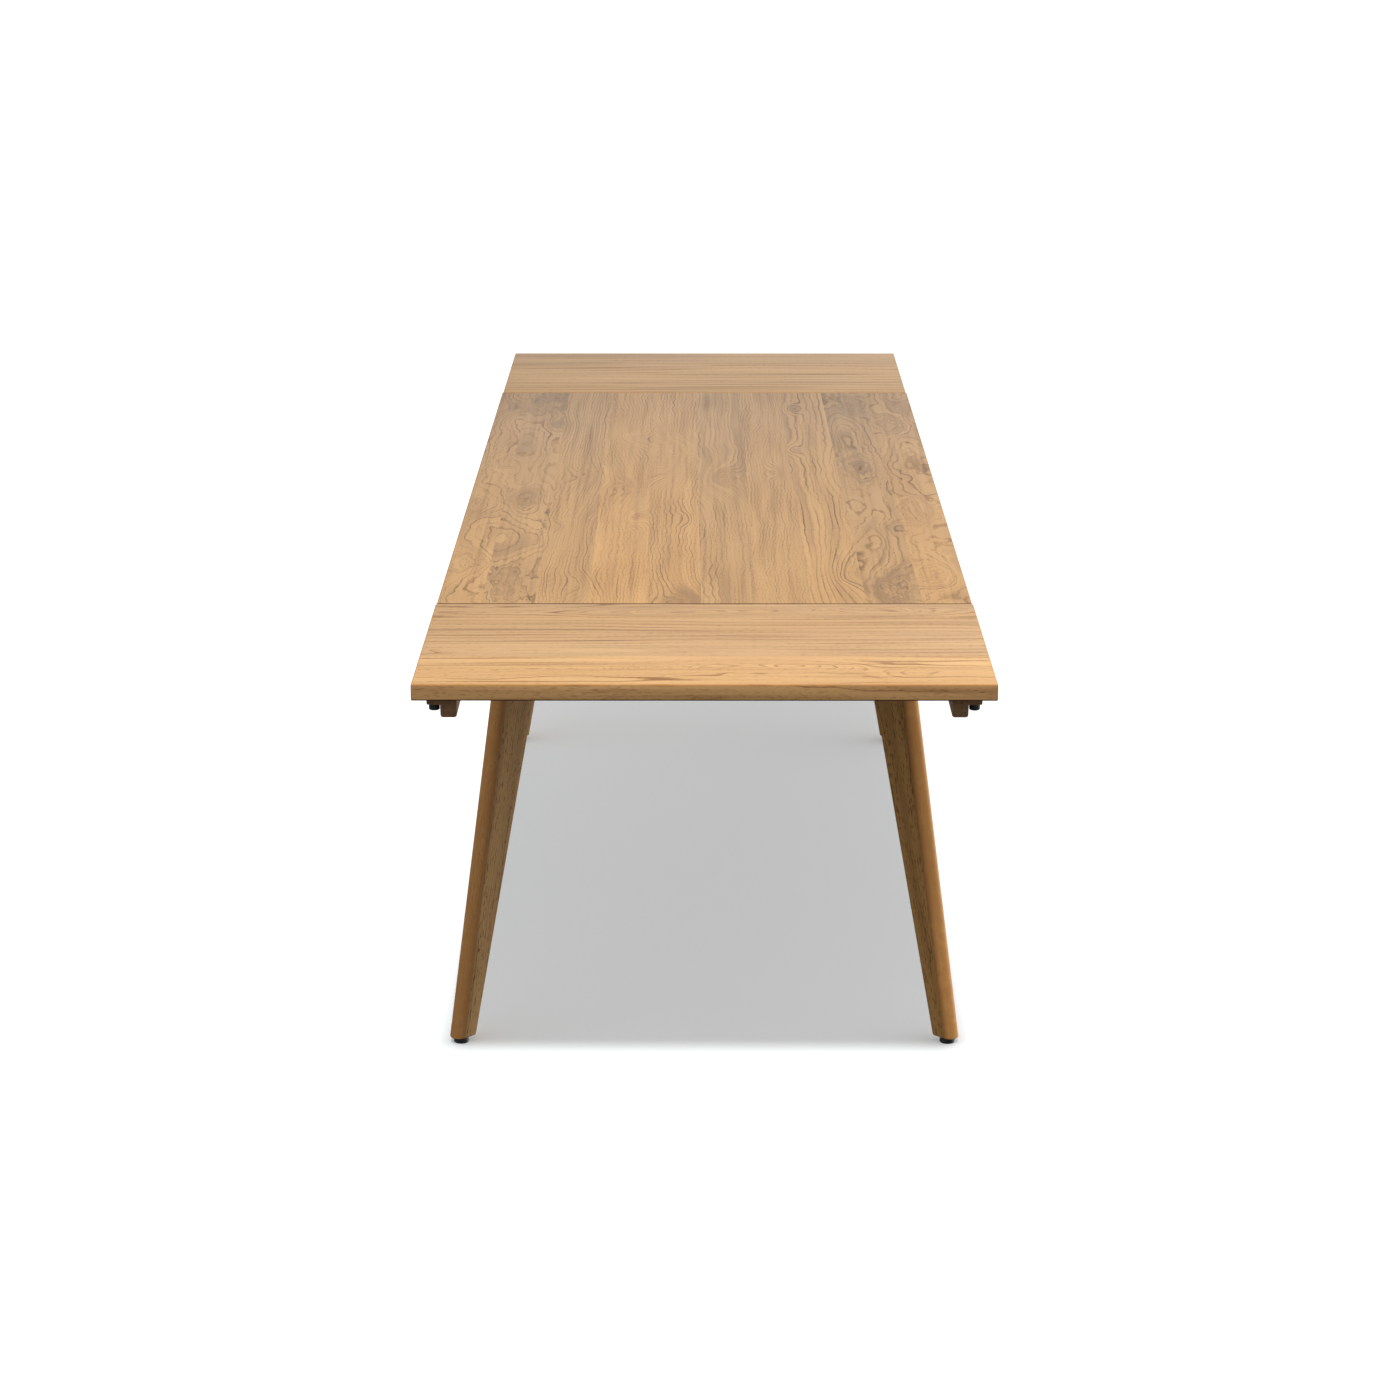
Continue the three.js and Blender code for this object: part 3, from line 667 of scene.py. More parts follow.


# The ten staves of the main top, from left to right. Places along run from the front end, at 0, to the
# rear end, at 1.8, and places across from the stave's own middle.
# Each stave's fade darkens it towards the rear end: a painted falloff of the light.
STAVE_FIGURES = [
    dict(seed=11, pith=(0.04, 0.05), spacing=0.0095, wave=0.9, burl=1.0, lines=0.95, light=1.05, fade=0.14,
         warm=0.55, stain=0.5, spots=[(0.72, -0.01, 0.026, 0.04, 0.25), (0.27, 0.004, 0.026, 0.06, 0.1),
                                      (1.66, 0.0, 0.03, 0.03, 0.35), (1.1, 0.012, 0.02, -0.03, 0.0)]),
    dict(seed=23, pith=(-0.01, 0.06), spacing=0.0095, wave=0.5, burl=1.0, lines=0.95, light=1.0, fade=0.13,
         warm=0.45, stain=0.5, spots=[(1.72, 0.006, 0.06, 0.03, 0.6), (1.45, 0.024, 0.018, 0.03, 0.5),
                                      (0.14, -0.004, 0.05, 0.04, 0.5), (0.78, -0.006, 0.034, 0.035, 0.4)]),
    dict(seed=31, pith=(0.1, 0.05), spacing=0.0055, wave=0.35, burl=0.4, lines=0.95, light=0.97, fade=0.1,
         warm=0.55, stain=0.2, spots=[(0.96, 0.012, 0.022, 0.05, 0.0), (0.55, -0.01, 0.016, 0.02, 0.3),
                                      (0.12, 0.03, 0.026, 0.03, 0.1)]),
    dict(seed=47, pith=(-0.1, 0.05), spacing=0.0055, wave=0.7, burl=0.4, lines=0.85, light=1.06, fade=0.11,
         warm=0.75, stain=0.2, spots=[(1.32, 0.0, 0.028, 0.04, 0.0), (0.85, 0.01, 0.026, -0.03, 0.1),
                                      (0.62, 0.02, 0.02, 0.03, 0.0)]),
    dict(seed=53, pith=(0.11, 0.05), spacing=0.0058, wave=0.7, burl=0.25, lines=1.05, light=1.03, fade=0.08,
         warm=0.7, stain=0.1, spots=[(1.15, -0.03, 0.06, 0.09, 0.0), (-0.02, 0.026, 0.05, 0.03, 0.65),
                                     (0.6, 0.03, 0.02, 0.02, 0.0)]),
    dict(seed=61, pith=(-0.08, 0.06), spacing=0.0055, wave=0.4, burl=0.25, lines=0.8, light=0.93, fade=0.06,
         warm=0.5, stain=0.3, spots=[(0.95, 0.0, 0.036, 0.05, 0.25), (1.7, -0.03, 0.03, 0.0, 0.3)]),
    dict(seed=73, pith=(0.14, 0.06), spacing=0.0052, wave=0.8, burl=0.25, lines=0.8, light=0.96, fade=0.07,
         warm=0.6, stain=0.15, spots=[(1.0, 0.02, 0.02, 0.02, 0.2), (1.75, 0.0, 0.03, 0.0, 0.25)]),
    dict(seed=83, pith=(-0.12, 0.05), spacing=0.0115, wave=0.5, burl=0.35, lines=1.3, light=1.0, fade=0.1,
         warm=0.65, stain=0.3, spots=[(1.62, -0.03, 0.018, 0.04, 0.5), (1.2, -0.035, 0.016, 0.02, 0.2),
                                     (0.25, 0.04, 0.04, 0.045, 0.0)]),
    dict(seed=97, pith=(-0.01, 0.05), spacing=0.0105, wave=0.5, burl=1.0, lines=1.0, light=0.97, fade=0.13,
         warm=0.5, stain=0.45, spots=[(1.66, -0.004, 0.045, 0.045, 0.5), (1.04, 0.0, 0.03, -0.045, 0.15),
                                      (0.55, 0.034, 0.022, 0.03, 0.4), (0.12, 0.006, 0.04, 0.05, 0.5)]),
    dict(seed=101, pith=(0.02, 0.05), spacing=0.0105, wave=1.1, burl=0.9, lines=1.05, light=1.02, fade=0.14,
         warm=0.7, stain=0.35, spots=[(0.2, 0.0, 0.03, 0.06, 0.0), (1.45, -0.01, 0.03, 0.04, 0.25),
                                      (0.7, 0.0, 0.04, 0.035, 0.1), (1.1, 0.02, 0.018, 0.02, 0.4)]),
]

# The four boards of the front leaf, from its front edge to the joint with the top. Their light steps down
# towards the joint: a painted falloff of the light, over each board's own tone.
FRONT_LEAF_FIGURES = [
    dict(seed=35, pith=(0.0, 0.05), spacing=0.017, wave=0.35, burl=0.12, lines=1.25, light=1.05, warm=0.9,
         stain=0.0, spots=[(0.1, 0.0, 0.03, 0.14, 0.0), (0.47, 0.02, 0.026, 0.1, 0.0),
                                        (0.72, -0.015, 0.03, 0.08, 0.0)]),
    dict(seed=27, pith=(0.16, 0.06), spacing=0.019, wave=0.2, burl=0.1, lines=1.1, light=0.95, warm=0.65,
         stain=0.25, spots=[(0.2, -0.03, 0.02, 0.05, 0.0)]),
    dict(seed=9, pith=(-0.14, 0.06), spacing=0.018, wave=0.2, burl=0.1, lines=1.1, light=0.88, warm=0.8,
         stain=0.15),
    dict(seed=13, pith=(0.0, 0.05), spacing=0.016, wave=0.4, burl=0.16, lines=1.4, light=0.84, warm=0.95,
         stain=0.3, spots=[(0.64, 0.0, 0.03, 0.13, 0.0), (0.22, -0.01, 0.024, 0.06, 0.0)]),
]

# The four boards of the rear leaf, from the joint with the top to its rear edge.
REAR_LEAF_FIGURES = [
    dict(seed=15, pith=(0.15, 0.08), spacing=0.021, wave=0.1, burl=0.04, lines=0.95, light=0.9, warm=0.35,
         stain=0.4),
    dict(seed=17, pith=(0.12, 0.09), spacing=0.024, wave=0.1, burl=0.03, lines=0.95, light=0.91, warm=0.4,
         stain=0.4),
    dict(seed=19, pith=(0.1, 0.12), spacing=0.021, wave=0.1, burl=0.03, lines=0.9, light=0.94, warm=0.4,
         stain=0.2),
    dict(seed=21, pith=(-0.2, 0.07), spacing=0.024, wave=0.1, burl=0.04, lines=0.95, light=0.9, warm=0.35,
         stain=0.4),
]


def lay_boards(edges, origin_of, along, across, figures, **shared):
    """One board between each two edges. origin_of(middle) gives the board's own origin."""
    boards = []
    for low, high, figure in zip(edges, edges[1:], figures):
        origin = origin_of((low + high) / 2)
        boards.append(Board(origin=origin, along=along, across=across, **shared, **figure))
    return boards


def dark_edge(place):
    """Painted shade darkens the edges of the front joint, in its groove, and the lower edges all round."""
    return abs(place.y + MAIN_END) < 2 * EASED_EDGE or place.z < UNDERSIDE + EASED_EDGE


def slab(name, low, high, joints, cut_along):
    """A slab with rounded edges, with an edge along each glued joint. cut_along(joint) gives a point on
    the joint's plane and its normal."""
    bm = block(low, high, EASED_EDGE)
    for joint in joints:
        point, normal = cut_along(joint)
        geometry = bm.verts[:] + bm.edges[:] + bm.faces[:]
        bmesh.ops.bisect_plane(bm, geom=geometry, plane_co=point, plane_no=normal, dist=1e-7)
    return object_from(name, bm)


def dowel_hole(end, side):
    reach = DOWEL_LENGTH / 2 + GAP
    middle = MAIN_END + GAP / 2
    x = SIDES[side] * DOWEL_X
    start = Vector((x, ENDS[end] * (middle - reach), DOWEL_Z))
    finish = Vector((x, ENDS[end] * (middle + reach), DOWEL_Z))
    return bar(start, finish, DOWEL_RADIUS + GAP)


def main_top():
    low = TOP_LOW + X_AXIS * MAIN_TOP_NARROWER
    high = TOP_HIGH - X_AXIS * MAIN_TOP_NARROWER
    skewed = Vector((1, -JOINT_SKEW, 0))
    piece = slab("main_top_staves", low, high, STAVE_JOINTS, lambda x: (Vector((x, 0, 0)), skewed))
    holes = [dowel_hole(end, side) for end, side in CORNERS]
    for end, side in CORNERS:
        place = Vector((SIDES[side] * KNOB_X, ENDS[end] * (KNOB_Y - LEAF_LENGTH), UNDERSIDE))
        radius = KNOB_STUD_RADIUS + THREAD_CLEARANCE
        holes.append(bar(place - Z_AXIS * MM, place + Z_AXIS * (KNOB_TRAVEL + 3 * MM), radius))
    cut(piece, holes)
    boards = lay_boards(
        [low.x, *STAVE_JOINTS, high.x], lambda x: Vector((x, -MAIN_END, TOP_Z)), Y_AXIS, X_AXIS,
        STAVE_FIGURES,
    )

    def board_of(place):
        return boards[bisect.bisect_right(STAVE_JOINTS, place.x - JOINT_SKEW * place.y)]

    lay_grain(piece, board_of, dark_edge)
    stand_for(piece, ["main_top"], TOP_OAK)


def leaf(end, joints, figures, narrower):
    low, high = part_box(f"{end}_leaf")
    low = low + X_AXIS * narrower
    high = high - X_AXIS * narrower
    piece = slab(f"{end}_leaf_board", low, high, joints, lambda y: (Vector((0, y, 0)), Y_AXIS))
    holes = [dowel_hole(end, side) for side in SIDES]
    for side in SIDES.values():
        place = Vector((side * KNOB_X, ENDS[end] * KNOB_Y, UNDERSIDE))
        top = place + Z_AXIS * (INSERT_LENGTH + GAP)
        holes.append(bar(place - Z_AXIS * MM, top, INSERT_RADIUS + GAP))
    cut(piece, holes)
    boards = lay_boards(
        [low.y, *joints, high.y], lambda y: Vector((low.x, y, TOP_Z)), X_AXIS, Y_AXIS, figures,
        stretch=LEAF_STRETCH,
    )
    lay_grain(piece, lambda place: boards[bisect.bisect_right(joints, place.y)], dark_edge)
    stand_for(piece, [f"{end}_leaf"], LEAF_OAK)


# ---- Frame ----

LEG_CORNER = Vector((291 * MM, 766 * MM, 0))
LEG_HALF_THICKNESS = 15 * MM
LEG_TOP_EDGES = (-47 * MM, 43.3 * MM)
LEG_FOOT_EDGES = (134 * MM, 174.2 * MM)
LEG_INNER_CORNER = 4 * MM
LEG_FOOT_EASE = 2.5 * MM
GLIDE_HEIGHT = 10 * MM
FOOT_MIDDLE = sum(LEG_FOOT_EDGES) / 2

APRON_THICKNESS = 22 * MM
APRON_DEPTH = 80 * MM

SEATED = 0.05 * MM  # left under the head of a wood screw

BRACKET_FACE = -53.7 * MM
BRACKET_THICKNESS = 3 * MM
BRACKET_HEIGHT = 56 * MM
BRACKET_FLANGE = 32 * MM
BOLT_RADIUS = 4 * MM
BOLT_LENGTH = 60 * MM
BOLT_HEAD_APOTHEM = 6.5 * MM
BOLT_HEAD_HEIGHT = 5.3 * MM
BOLT_HEAD_FACE = BRACKET_FACE - BRACKET_THICKNESS - GAP
BOLT_HEIGHTS = {"upper": FRAME_TOP - 24 * MM, "lower": FRAME_TOP - 56 * MM}


def corner_matrix(end, side):
    """Carries a corner's own frame, with X outwards along the diagonal, to its place."""
    place = Vector((SIDES[side] * LEG_CORNER.x, ENDS[end] * LEG_CORNER.y, 0))
    turn = math.atan2(ENDS[end], SIDES[side])
    return Matrix.Translation(place) @ Matrix.Rotation(turn, 4, "Z")


def blade_section(height, inset=0.0):
    """The leg's level section in its corner's frame: a full-round outer edge, and a squarer inner one."""
    share = (height - GLIDE_HEIGHT) / (FRAME_TOP - GLIDE_HEIGHT)
    inner, outer = (foot + (top - foot) * share for foot, top in zip(LEG_FOOT_EDGES, LEG_TOP_EDGES))
    inner += inset
    outer -= inset
    half = LEG_HALF_THICKNESS - inset
    corner = LEG_INNER_CORNER - inset

    def arc(x, y, radius, start, finish, steps):
        angles = [math.radians(start + (finish - start) * i / steps) for i in range(steps + 1)]
        return [Vector((x + radius * math.cos(a), y + radius * math.sin(a), height)) for a in angles]

    return [
        *arc(outer - half, 0, half, -90, 90, 36),
        *arc(inner + corner, half - corner, corner, 90, 180, 6),
        *arc(inner + corner, corner - half, corner, 180, 270, 6),
    ]


def leg(end, side, seed):
    name = f"{end}_{side}"
    # painted highlight on the rounded nose, stronger on the right legs, lit from the right; the left legs'
    # flat faces are painted cooler, a painted sheen
    nose_light = {"left": 0.5, "right": 1.1}[side]
    flat_warmth = {"left": 0.3, "right": 0.7}[side]
    rings = []
    for step in range(5):
        angle = math.radians(90 * step / 4)
        inset = LEG_FOOT_EASE * (1 - math.sin(angle))
        rings.append(blade_section(GLIDE_HEIGHT + LEG_FOOT_EASE * (1 - math.cos(angle)), inset))
    rings.append(blade_section(FRAME_TOP))
    matrix = corner_matrix(end, side)
    piece = object_from(f"{name}_leg_blade", moved(loft(rings), matrix))
    tip = BOLT_HEAD_FACE + BOLT_LENGTH + 2 * MM
    holes = []
    for z in BOLT_HEIGHTS.values():
        start, finish = Vector((BRACKET_FACE, 0, z)), Vector((tip, 0, z))
        holes.append(bar(matrix @ start, matrix @ finish, BOLT_RADIUS + GAP))
    foot = Vector((FOOT_MIDDLE, 0, GLIDE_HEIGHT - MM))
    head = foot + Z_AXIS * (FOOT_INSERT_LENGTH + 3 * MM)
    holes.append(bar(matrix @ foot, matrix @ head, FOOT_INSERT_RADIUS + GAP))
    cut(piece, holes)
    turn = matrix.to_3x3()
    foot_middle = Vector((FOOT_MIDDLE, 0, GLIDE_HEIGHT))
    top_middle = Vector((sum(LEG_TOP_EDGES) / 2, 0, FRAME_TOP))
    boards = {}

    def board_of(place):
        """The rounded outer edge is painted paler and warmer than the flat faces: a painted highlight,
        stronger on the right legs, which are lit from the right. The left legs' flat faces are painted
        cooler: a painted sheen.
        """
        local = matrix.inverted() @ place
        flat_until = blade_section(local.z)[0].x
        rounding = min(max((local.x - flat_until) / LEG_HALF_THICKNESS * 1.5, 0), 1)
        if rounding not in boards:
            boards[rounding] = Board(
                seed=seed, origin=matrix @ foot_middle, along=turn @ (top_middle - foot_middle),
                across=turn @ Y_AXIS, pith=(0.05, 0.07), spacing=0.0045, wave=0.3, burl=0.15,
                lines=1.2, light=1 + nose_light * rounding, warm=flat_warmth + 0.2 * rounding, stain=0.2,
                spots=[(0.42, 0.0, 0.008, 0.01, 0.6), (0.2, 0.006, 0.006, 0.008, 0.5)],
                rubbed=rounding > 0,
            )
        return boards[rounding]

    lay_grain(piece, board_of)
    stand_for(piece, [f"{name}_leg"], FRAME_OAK)


def apron(name, middle, along, half_span, seed):
    """An apron between two legs, with its ends cut at 45 degrees and its edges rounded."""
    outward = Vector(middle).normalized()
    end_cut = (LEG_HALF_THICKNESS + GAP) * math.sqrt(2)
    half = APRON_THICKNESS / 2
    inner, outer = half_span - half - end_cut, half_span + half - end_cut
    outline = [(-inner, -half), (inner, -half), (outer, half), (-outer, half)]

    def place(x, y, z):
        return Vector(middle) + Vector(along) * x + outward * y + Z_AXIS * z

    bm = prism(outline, FRAME_TOP - APRON_DEPTH, FRAME_TOP, place)
    bmesh.ops.bevel(bm, geom=bm.edges[:], offset=1.5 * MM, segments=2, profile=0.5, affect="EDGES")
    piece = object_from(f"{name}_board", bm)
    origin = Vector(middle) + Z_AXIS * (FRAME_TOP - APRON_DEPTH / 2)
    board = Board(
        seed=seed, origin=origin, along=along, across=Z_AXIS, pith=(0.03, 0.06), wave=0.15, burl=0.12,
        lines=0.75, light=0.98, warm=0.5, stain=0.2, spots=[(0.21, 0.01, 0.012, 0.012, 0.4)],
    )
    lay_grain(piece, lambda place: board)
    stand_for(piece, [name], FRAME_OAK)


def cross_rail():
    low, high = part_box("cross_rail")
    piece = object_from("cross_rail_board", block(low, high, 1.5 * MM))
    board = Board(seed=41, origin=(0, 0, high.z), along=X_AXIS, across=Y_AXIS, pith=(0.01, 0.05))
    lay_grain(piece, lambda place: board)
    stand_for(piece, ["cross_rail"], FRAME_OAK)


def strip_outline(points, thickness, bend):
    """A strip bent to a line of points: the thickness lies to the left of them, and each bend has that
    radius on its inside."""
    line = [Vector(point) for point in points]
    runs = [(b - a).normalized() for a, b in zip(line, line[1:])]
    lefts = [Vector((-run.y, run.x)) for run in runs]
    back = [line[0] + lefts[0] * thickness]
    for i in range(1, len(line) - 1):
        mitre = (lefts[i - 1] + lefts[i]).normalized()
        back.append(line[i] + mitre * thickness / mitre.dot(lefts[i]))
    back.append(line[-1] + lefts[-1] * thickness)
    outline = []
    for i, point in enumerate(line):
        inside = 0 < i < len(line) - 1 and runs[i - 1].cross(runs[i]) < 0
        radius = bend if inside else bend + thickness
        outline.append((*point, radius if 0 < i < len(line) - 1 else 0.3 * MM))
    for i, point in reversed(list(enumerate(back))):
        inside = 0 < i < len(line) - 1 and runs[i - 1].cross(runs[i]) > 0
        radius = bend if inside else bend + thickness
        outline.append((*point, radius if 0 < i < len(line) - 1 else 0.3 * MM))
    return rounded(outline, 5)


def bracket_screw_places(matrix):
    """Two wood screws through each flange of a corner bracket, as (head, direction) in the world."""
    half = bracket_half_width()
    middle = FRAME_TOP - APRON_DEPTH / 2
    run = BRACKET_FLANGE * 0.62 / math.sqrt(2)
    inwards = (BRACKET_THICKNESS + SEATED) / math.sqrt(2)
    places = []
    for hand in (-1, 1):
        for height in (middle - BRACKET_HEIGHT / 4, middle + BRACKET_HEIGHT / 4):
            head = Vector((BRACKET_FACE - run - inwards, hand * (half + run - inwards), height))
            into = Vector((1, hand, 0)).normalized()
            places.append((matrix @ head, matrix.to_3x3() @ into))
    return places


def bracket_half_width():
    return (APRON_THICKNESS / 2 + GAP) * -math.sqrt(2) - BRACKET_FACE


def corner_bracket(end, side):
    name = f"{end}_{side}_corner_bracket"
    half = bracket_half_width()
    drop = BRACKET_FLANGE / math.sqrt(2)
    line = [
        (BRACKET_FACE - drop, -half - drop), (BRACKET_FACE, -half), (BRACKET_FACE, half),
        (BRACKET_FACE - drop, half + drop),
    ]
    matrix = corner_matrix(end, side)
    middle = FRAME_TOP - APRON_DEPTH / 2
    bm = prism(
        strip_outline(line, BRACKET_THICKNESS, 1.5 * MM), middle - BRACKET_HEIGHT / 2,
        middle + BRACKET_HEIGHT / 2, lambda x, y, z: Vector((x, y, z)), ease=0.5 * MM,
    )
    piece = object_from(f"{end}_{side}_bracket_plate", moved(bm, matrix))
    holes = []
    for z in BOLT_HEIGHTS.values():
        start = Vector((BRACKET_FACE - 3 * BRACKET_THICKNESS, 0, z))
        finish = Vector((BRACKET_FACE + BRACKET_THICKNESS, 0, z))
        holes.append(bar(matrix @ start, matrix @ finish, BOLT_RADIUS + GAP))
    cut(piece, holes)
    stand_for(piece, [name], STEEL)
    return bracket_screw_places(matrix)


def hex_bolt(end, side, level):
    """A hex bolt: chamfered head, plain shank and a thread over its far half."""
    chamfer_radius = BOLT_HEAD_APOTHEM * 0.97
    thread_from = 26 * MM
    pitch = 1.25 * MM
    head = -BOLT_HEAD_HEIGHT
    profile = [(0, head), (chamfer_radius * 0.999, head), (BOLT_HEAD_APOTHEM * 1.155, head + 0.9 * MM)]
    profile += [(BOLT_HEAD_APOTHEM * 1.155, 0), (BOLT_RADIUS, 0), (BOLT_RADIUS * 1.002, thread_from)]
    profile += shank(BOLT_RADIUS, thread_from + pitch, BOLT_LENGTH - MM, pitch)
    profile += [(BOLT_RADIUS * 0.8, BOLT_LENGTH), (0, BOLT_LENGTH)]
    screw = thread(BOLT_RADIUS, 0.6 * MM, pitch)

    def shape(radius, height, angle):
        if height > 0:
            return screw(radius, height, angle) if height > thread_from else radius
        if radius > BOLT_HEAD_APOTHEM:
            return hexagon(BOLT_HEAD_APOTHEM, angle)
        return radius

    z = BOLT_HEIGHTS[level]
    matrix = corner_matrix(end, side)
    start = matrix @ Vector((BOLT_HEAD_FACE, 0, z))
    finish = matrix @ Vector((BOLT_HEAD_FACE + BOLT_LENGTH, 0, z))
    name = f"{end}_{side}_leg_bolt_{level}"
    piece = object_from(f"{name}_m8", moved(turned(profile, 36, shape), along_line(start, finish)))
    stand_for(piece, [name], STEEL)


CLIP_LEG = 22 * MM
CLIP_THICKNESS = 2.5 * MM
CLIP_WIDTH = 25 * MM
CLIP_Y = 380 * MM


def top_clip(end, side):
    """An angle clip with one screw up into the top and one into the apron. Returns the screws."""
    name = f"{end}_{side}_top_clip"
    face = LEG_CORNER.x - APRON_THICKNESS / 2 - GAP
    line = [(face, FRAME_TOP - CLIP_LEG), (face, FRAME_TOP), (face - CLIP_LEG, FRAME_TOP)]
    outline = strip_outline(line, CLIP_THICKNESS, MM)
    middle = ENDS[end] * CLIP_Y
    sign = SIDES[side]

    def place(x, z, y):
        return Vector((sign * x, y, z))

    bm = prism(outline, middle - CLIP_WIDTH / 2, middle + CLIP_WIDTH / 2, place, ease=0.5 * MM)
    piece = object_from(f"{name}_angle", bm)
    stand_for(piece, [name], STEEL)
    inside = CLIP_THICKNESS + SEATED
    upward = (Vector((sign * (face - 0.62 * CLIP_LEG), middle, FRAME_TOP - inside)), Z_AXIS)
    outward = Vector((sign * (face - inside), middle, FRAME_TOP - 0.62 * CLIP_LEG))
    return [upward, (outward, X_AXIS * sign)]


# Screws

GUIDE_SCREW_ROW = [y * MM for y in (-720, -240, 240, 720)]


def pan_screw(head, into):
    """A pan-head wood screw's head, with a hexagonal recess and a short length of its shank."""
    radius = 3.8 * MM
    height = 2.2 * MM
    recess = 1.6 * MM
    depth = 1.3 * MM
    profile = [(0, -height + depth), (recess, -height + depth), (recess * 1.01, -height)]
    profile += [(radius * 0.62, -height), (radius * 0.9, -height * 0.72), (radius, -height * 0.3)]
    profile += [(radius, 0), (radius * 0.45, 0), (radius * 0.45, 2 * MM), (0, 2 * MM)]

    def shape(r, z, angle):
        return hexagon(r * 0.9, angle) if r < recess * 1.1 and z < -MM / 2 else r

    return moved(turned(profile, 30, shape), along_line(head, head + into))


def screws(name, places):
    """All screws of one kind, as one piece on the table's own body."""
    piece = object_from(name, merge([pan_screw(head, into) for head, into in places]))
    smooth(piece)
    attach(piece, "table")
    piece.data.materials.append(STEEL)


def guide_screw_places():
    """Screws up through both guides of each side and through the ends of the cross rail."""
    places = []
    for side in SIDES:
        for node in (f"{side}_outer_guide", f"{side}_inner_guide"):
            low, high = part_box(node)
            outer = node.endswith("outer_guide")
            from_edge = OUTER_GUIDE_UPRIGHT / 2 if outer else (high.x - low.x) / 2
            x = max(abs(low.x), abs(high.x)) - from_edge
            for y in GUIDE_SCREW_ROW:
                places.append((Vector((SIDES[side] * x, y, low.z - SEATED)), Z_AXIS))
    low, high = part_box("cross_rail")
    for x in (-1, 1):
        for y in (-1, 1):
            head = Vector((x * (high.x - 30 * MM), y * 15 * MM, low.z - SEATED))
            places.append((head, Z_AXIS))
    return places


# Feet

GLIDE_RADIUS = 12.5 * MM
GLIDE_STUD_RADIUS = 4 * MM
GLIDE_STUD_LENGTH = 30 * MM
FOOT_INSERT_RADIUS = 6.5 * MM
FOOT_INSERT_LENGTH = 32 * MM


def sleeve(name, node, place, inside, outside, low, high, material):
    """A threaded insert: a sleeve with chamfered ends and a coarse thread outside."""
    ease = 0.7 * MM
    pitch = 2.5 * MM
    profile = [(inside, low + ease), (inside + ease, low), (outside - ease, low)]
    profile += shank(outside, low + ease, high - ease, pitch)
    profile += [(outside - ease, high), (inside + ease, high), (inside, high - ease)]
    bm = turned(profile, 36, thread(outside, 0.9 * MM, pitch), closed=True)
    piece = object_from(name, moved(bm, Matrix.Translation(place)))
    stand_for(piece, [node], material, sharp=40)


def glide(end, side):
    """A screw-in glide: a plastic disc with a rounded tread and a threaded stud."""
    top = GLIDE_HEIGHT - GAP
    pitch = 1.25 * MM
    tread = 2 * MM
    profile = [(0, 0), *rounded_rim(GLIDE_RADIUS, 0, tread, 5)]
    profile += [(GLIDE_RADIUS, 4.4 * MM), (GLIDE_RADIUS - 0.7 * MM, 5 * MM)]
    profile += [(GLIDE_RADIUS - 0.7 * MM, top - 0.6 * MM), (GLIDE_RADIUS - 1.3 * MM, top)]
    profile += shank(GLIDE_STUD_RADIUS, top, top + GLIDE_STUD_LENGTH - MM, pitch)
    profile += [(GLIDE_STUD_RADIUS * 0.8, top + GLIDE_STUD_LENGTH), (0, top + GLIDE_STUD_LENGTH)]
    bm = turned(profile, 48, thread(GLIDE_STUD_RADIUS, 0.6 * MM, pitch))
    matrix = corner_matrix(end, side) @ Matrix.Translation((FOOT_MIDDLE, 0, 0))
    piece = object_from(f"{end}_{side}_glide_disc", moved(bm, matrix))
    stand_for(piece, [f"{end}_{side}_glide"], PLASTIC)


# ---- Guides and pull-out rails ----

RAIL_INNER_FACE = 360 * MM
RAIL_WEB = 24 * MM
RAIL_FLANGE = 20 * MM
RAIL_FLANGE_THICKNESS = 11 * MM
RAIL_DEPTH = 30 * MM
RAIL_EASED_EDGE = 4 * MM
SLIDE_CLEARANCE = 0.4 * MM
# The ends of the sections that slide past each other are eased by less than the clearance, because
# the easing reaches out by as much at their inward corners.
SLIDING_END_EASE = 0.3 * MM
OUTER_GUIDE_UPRIGHT = 12.6 * MM
WEB_OUTER_FACE = RAIL_INNER_FACE + RAIL_WEB
FLANGE_EDGE = WEB_OUTER_FACE + RAIL_FLANGE
FLANGE_BOTTOM = FRAME_TOP - RAIL_FLANGE_THICKNESS
GROOVE_DEPTH = 8.4 * MM
GROOVE_HALF_HEIGHT = 3.5 * MM
PEG_Z = FRAME_TOP - RAIL_DEPTH / 2
PEG_Y = 525 * MM
PEG_RADIUS = 3 * MM
PEG_IN_RAIL = 12 * MM
PEG_IN_GROOVE = 7.5 * MM
KNOB_RADIUS = 8 * MM
KNOB_HEIGHT = 11.7 * MM


def lengthwise(name, node, sign, outline, ease):
    """A wooden section that runs along Y, over the length of its node. Outlines are for the right side."""
    low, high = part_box(node)

    def place(x, z, y):
        return Vector((sign * x, y, z))

    return object_from(name, prism(rounded(outline), low.y, high.y, place, ease))


def rail_board(seed, x, light=1.0):
    return Board(
        seed=seed, origin=(x, 0, FRAME_TOP), along=Y_AXIS, across=X_AXIS, pith=(0.05, 0.08),
        spacing=0.003, wave=0.1, burl=0.08, lines=0.6, light=light, warm=0.45, stain=0.2,
    )


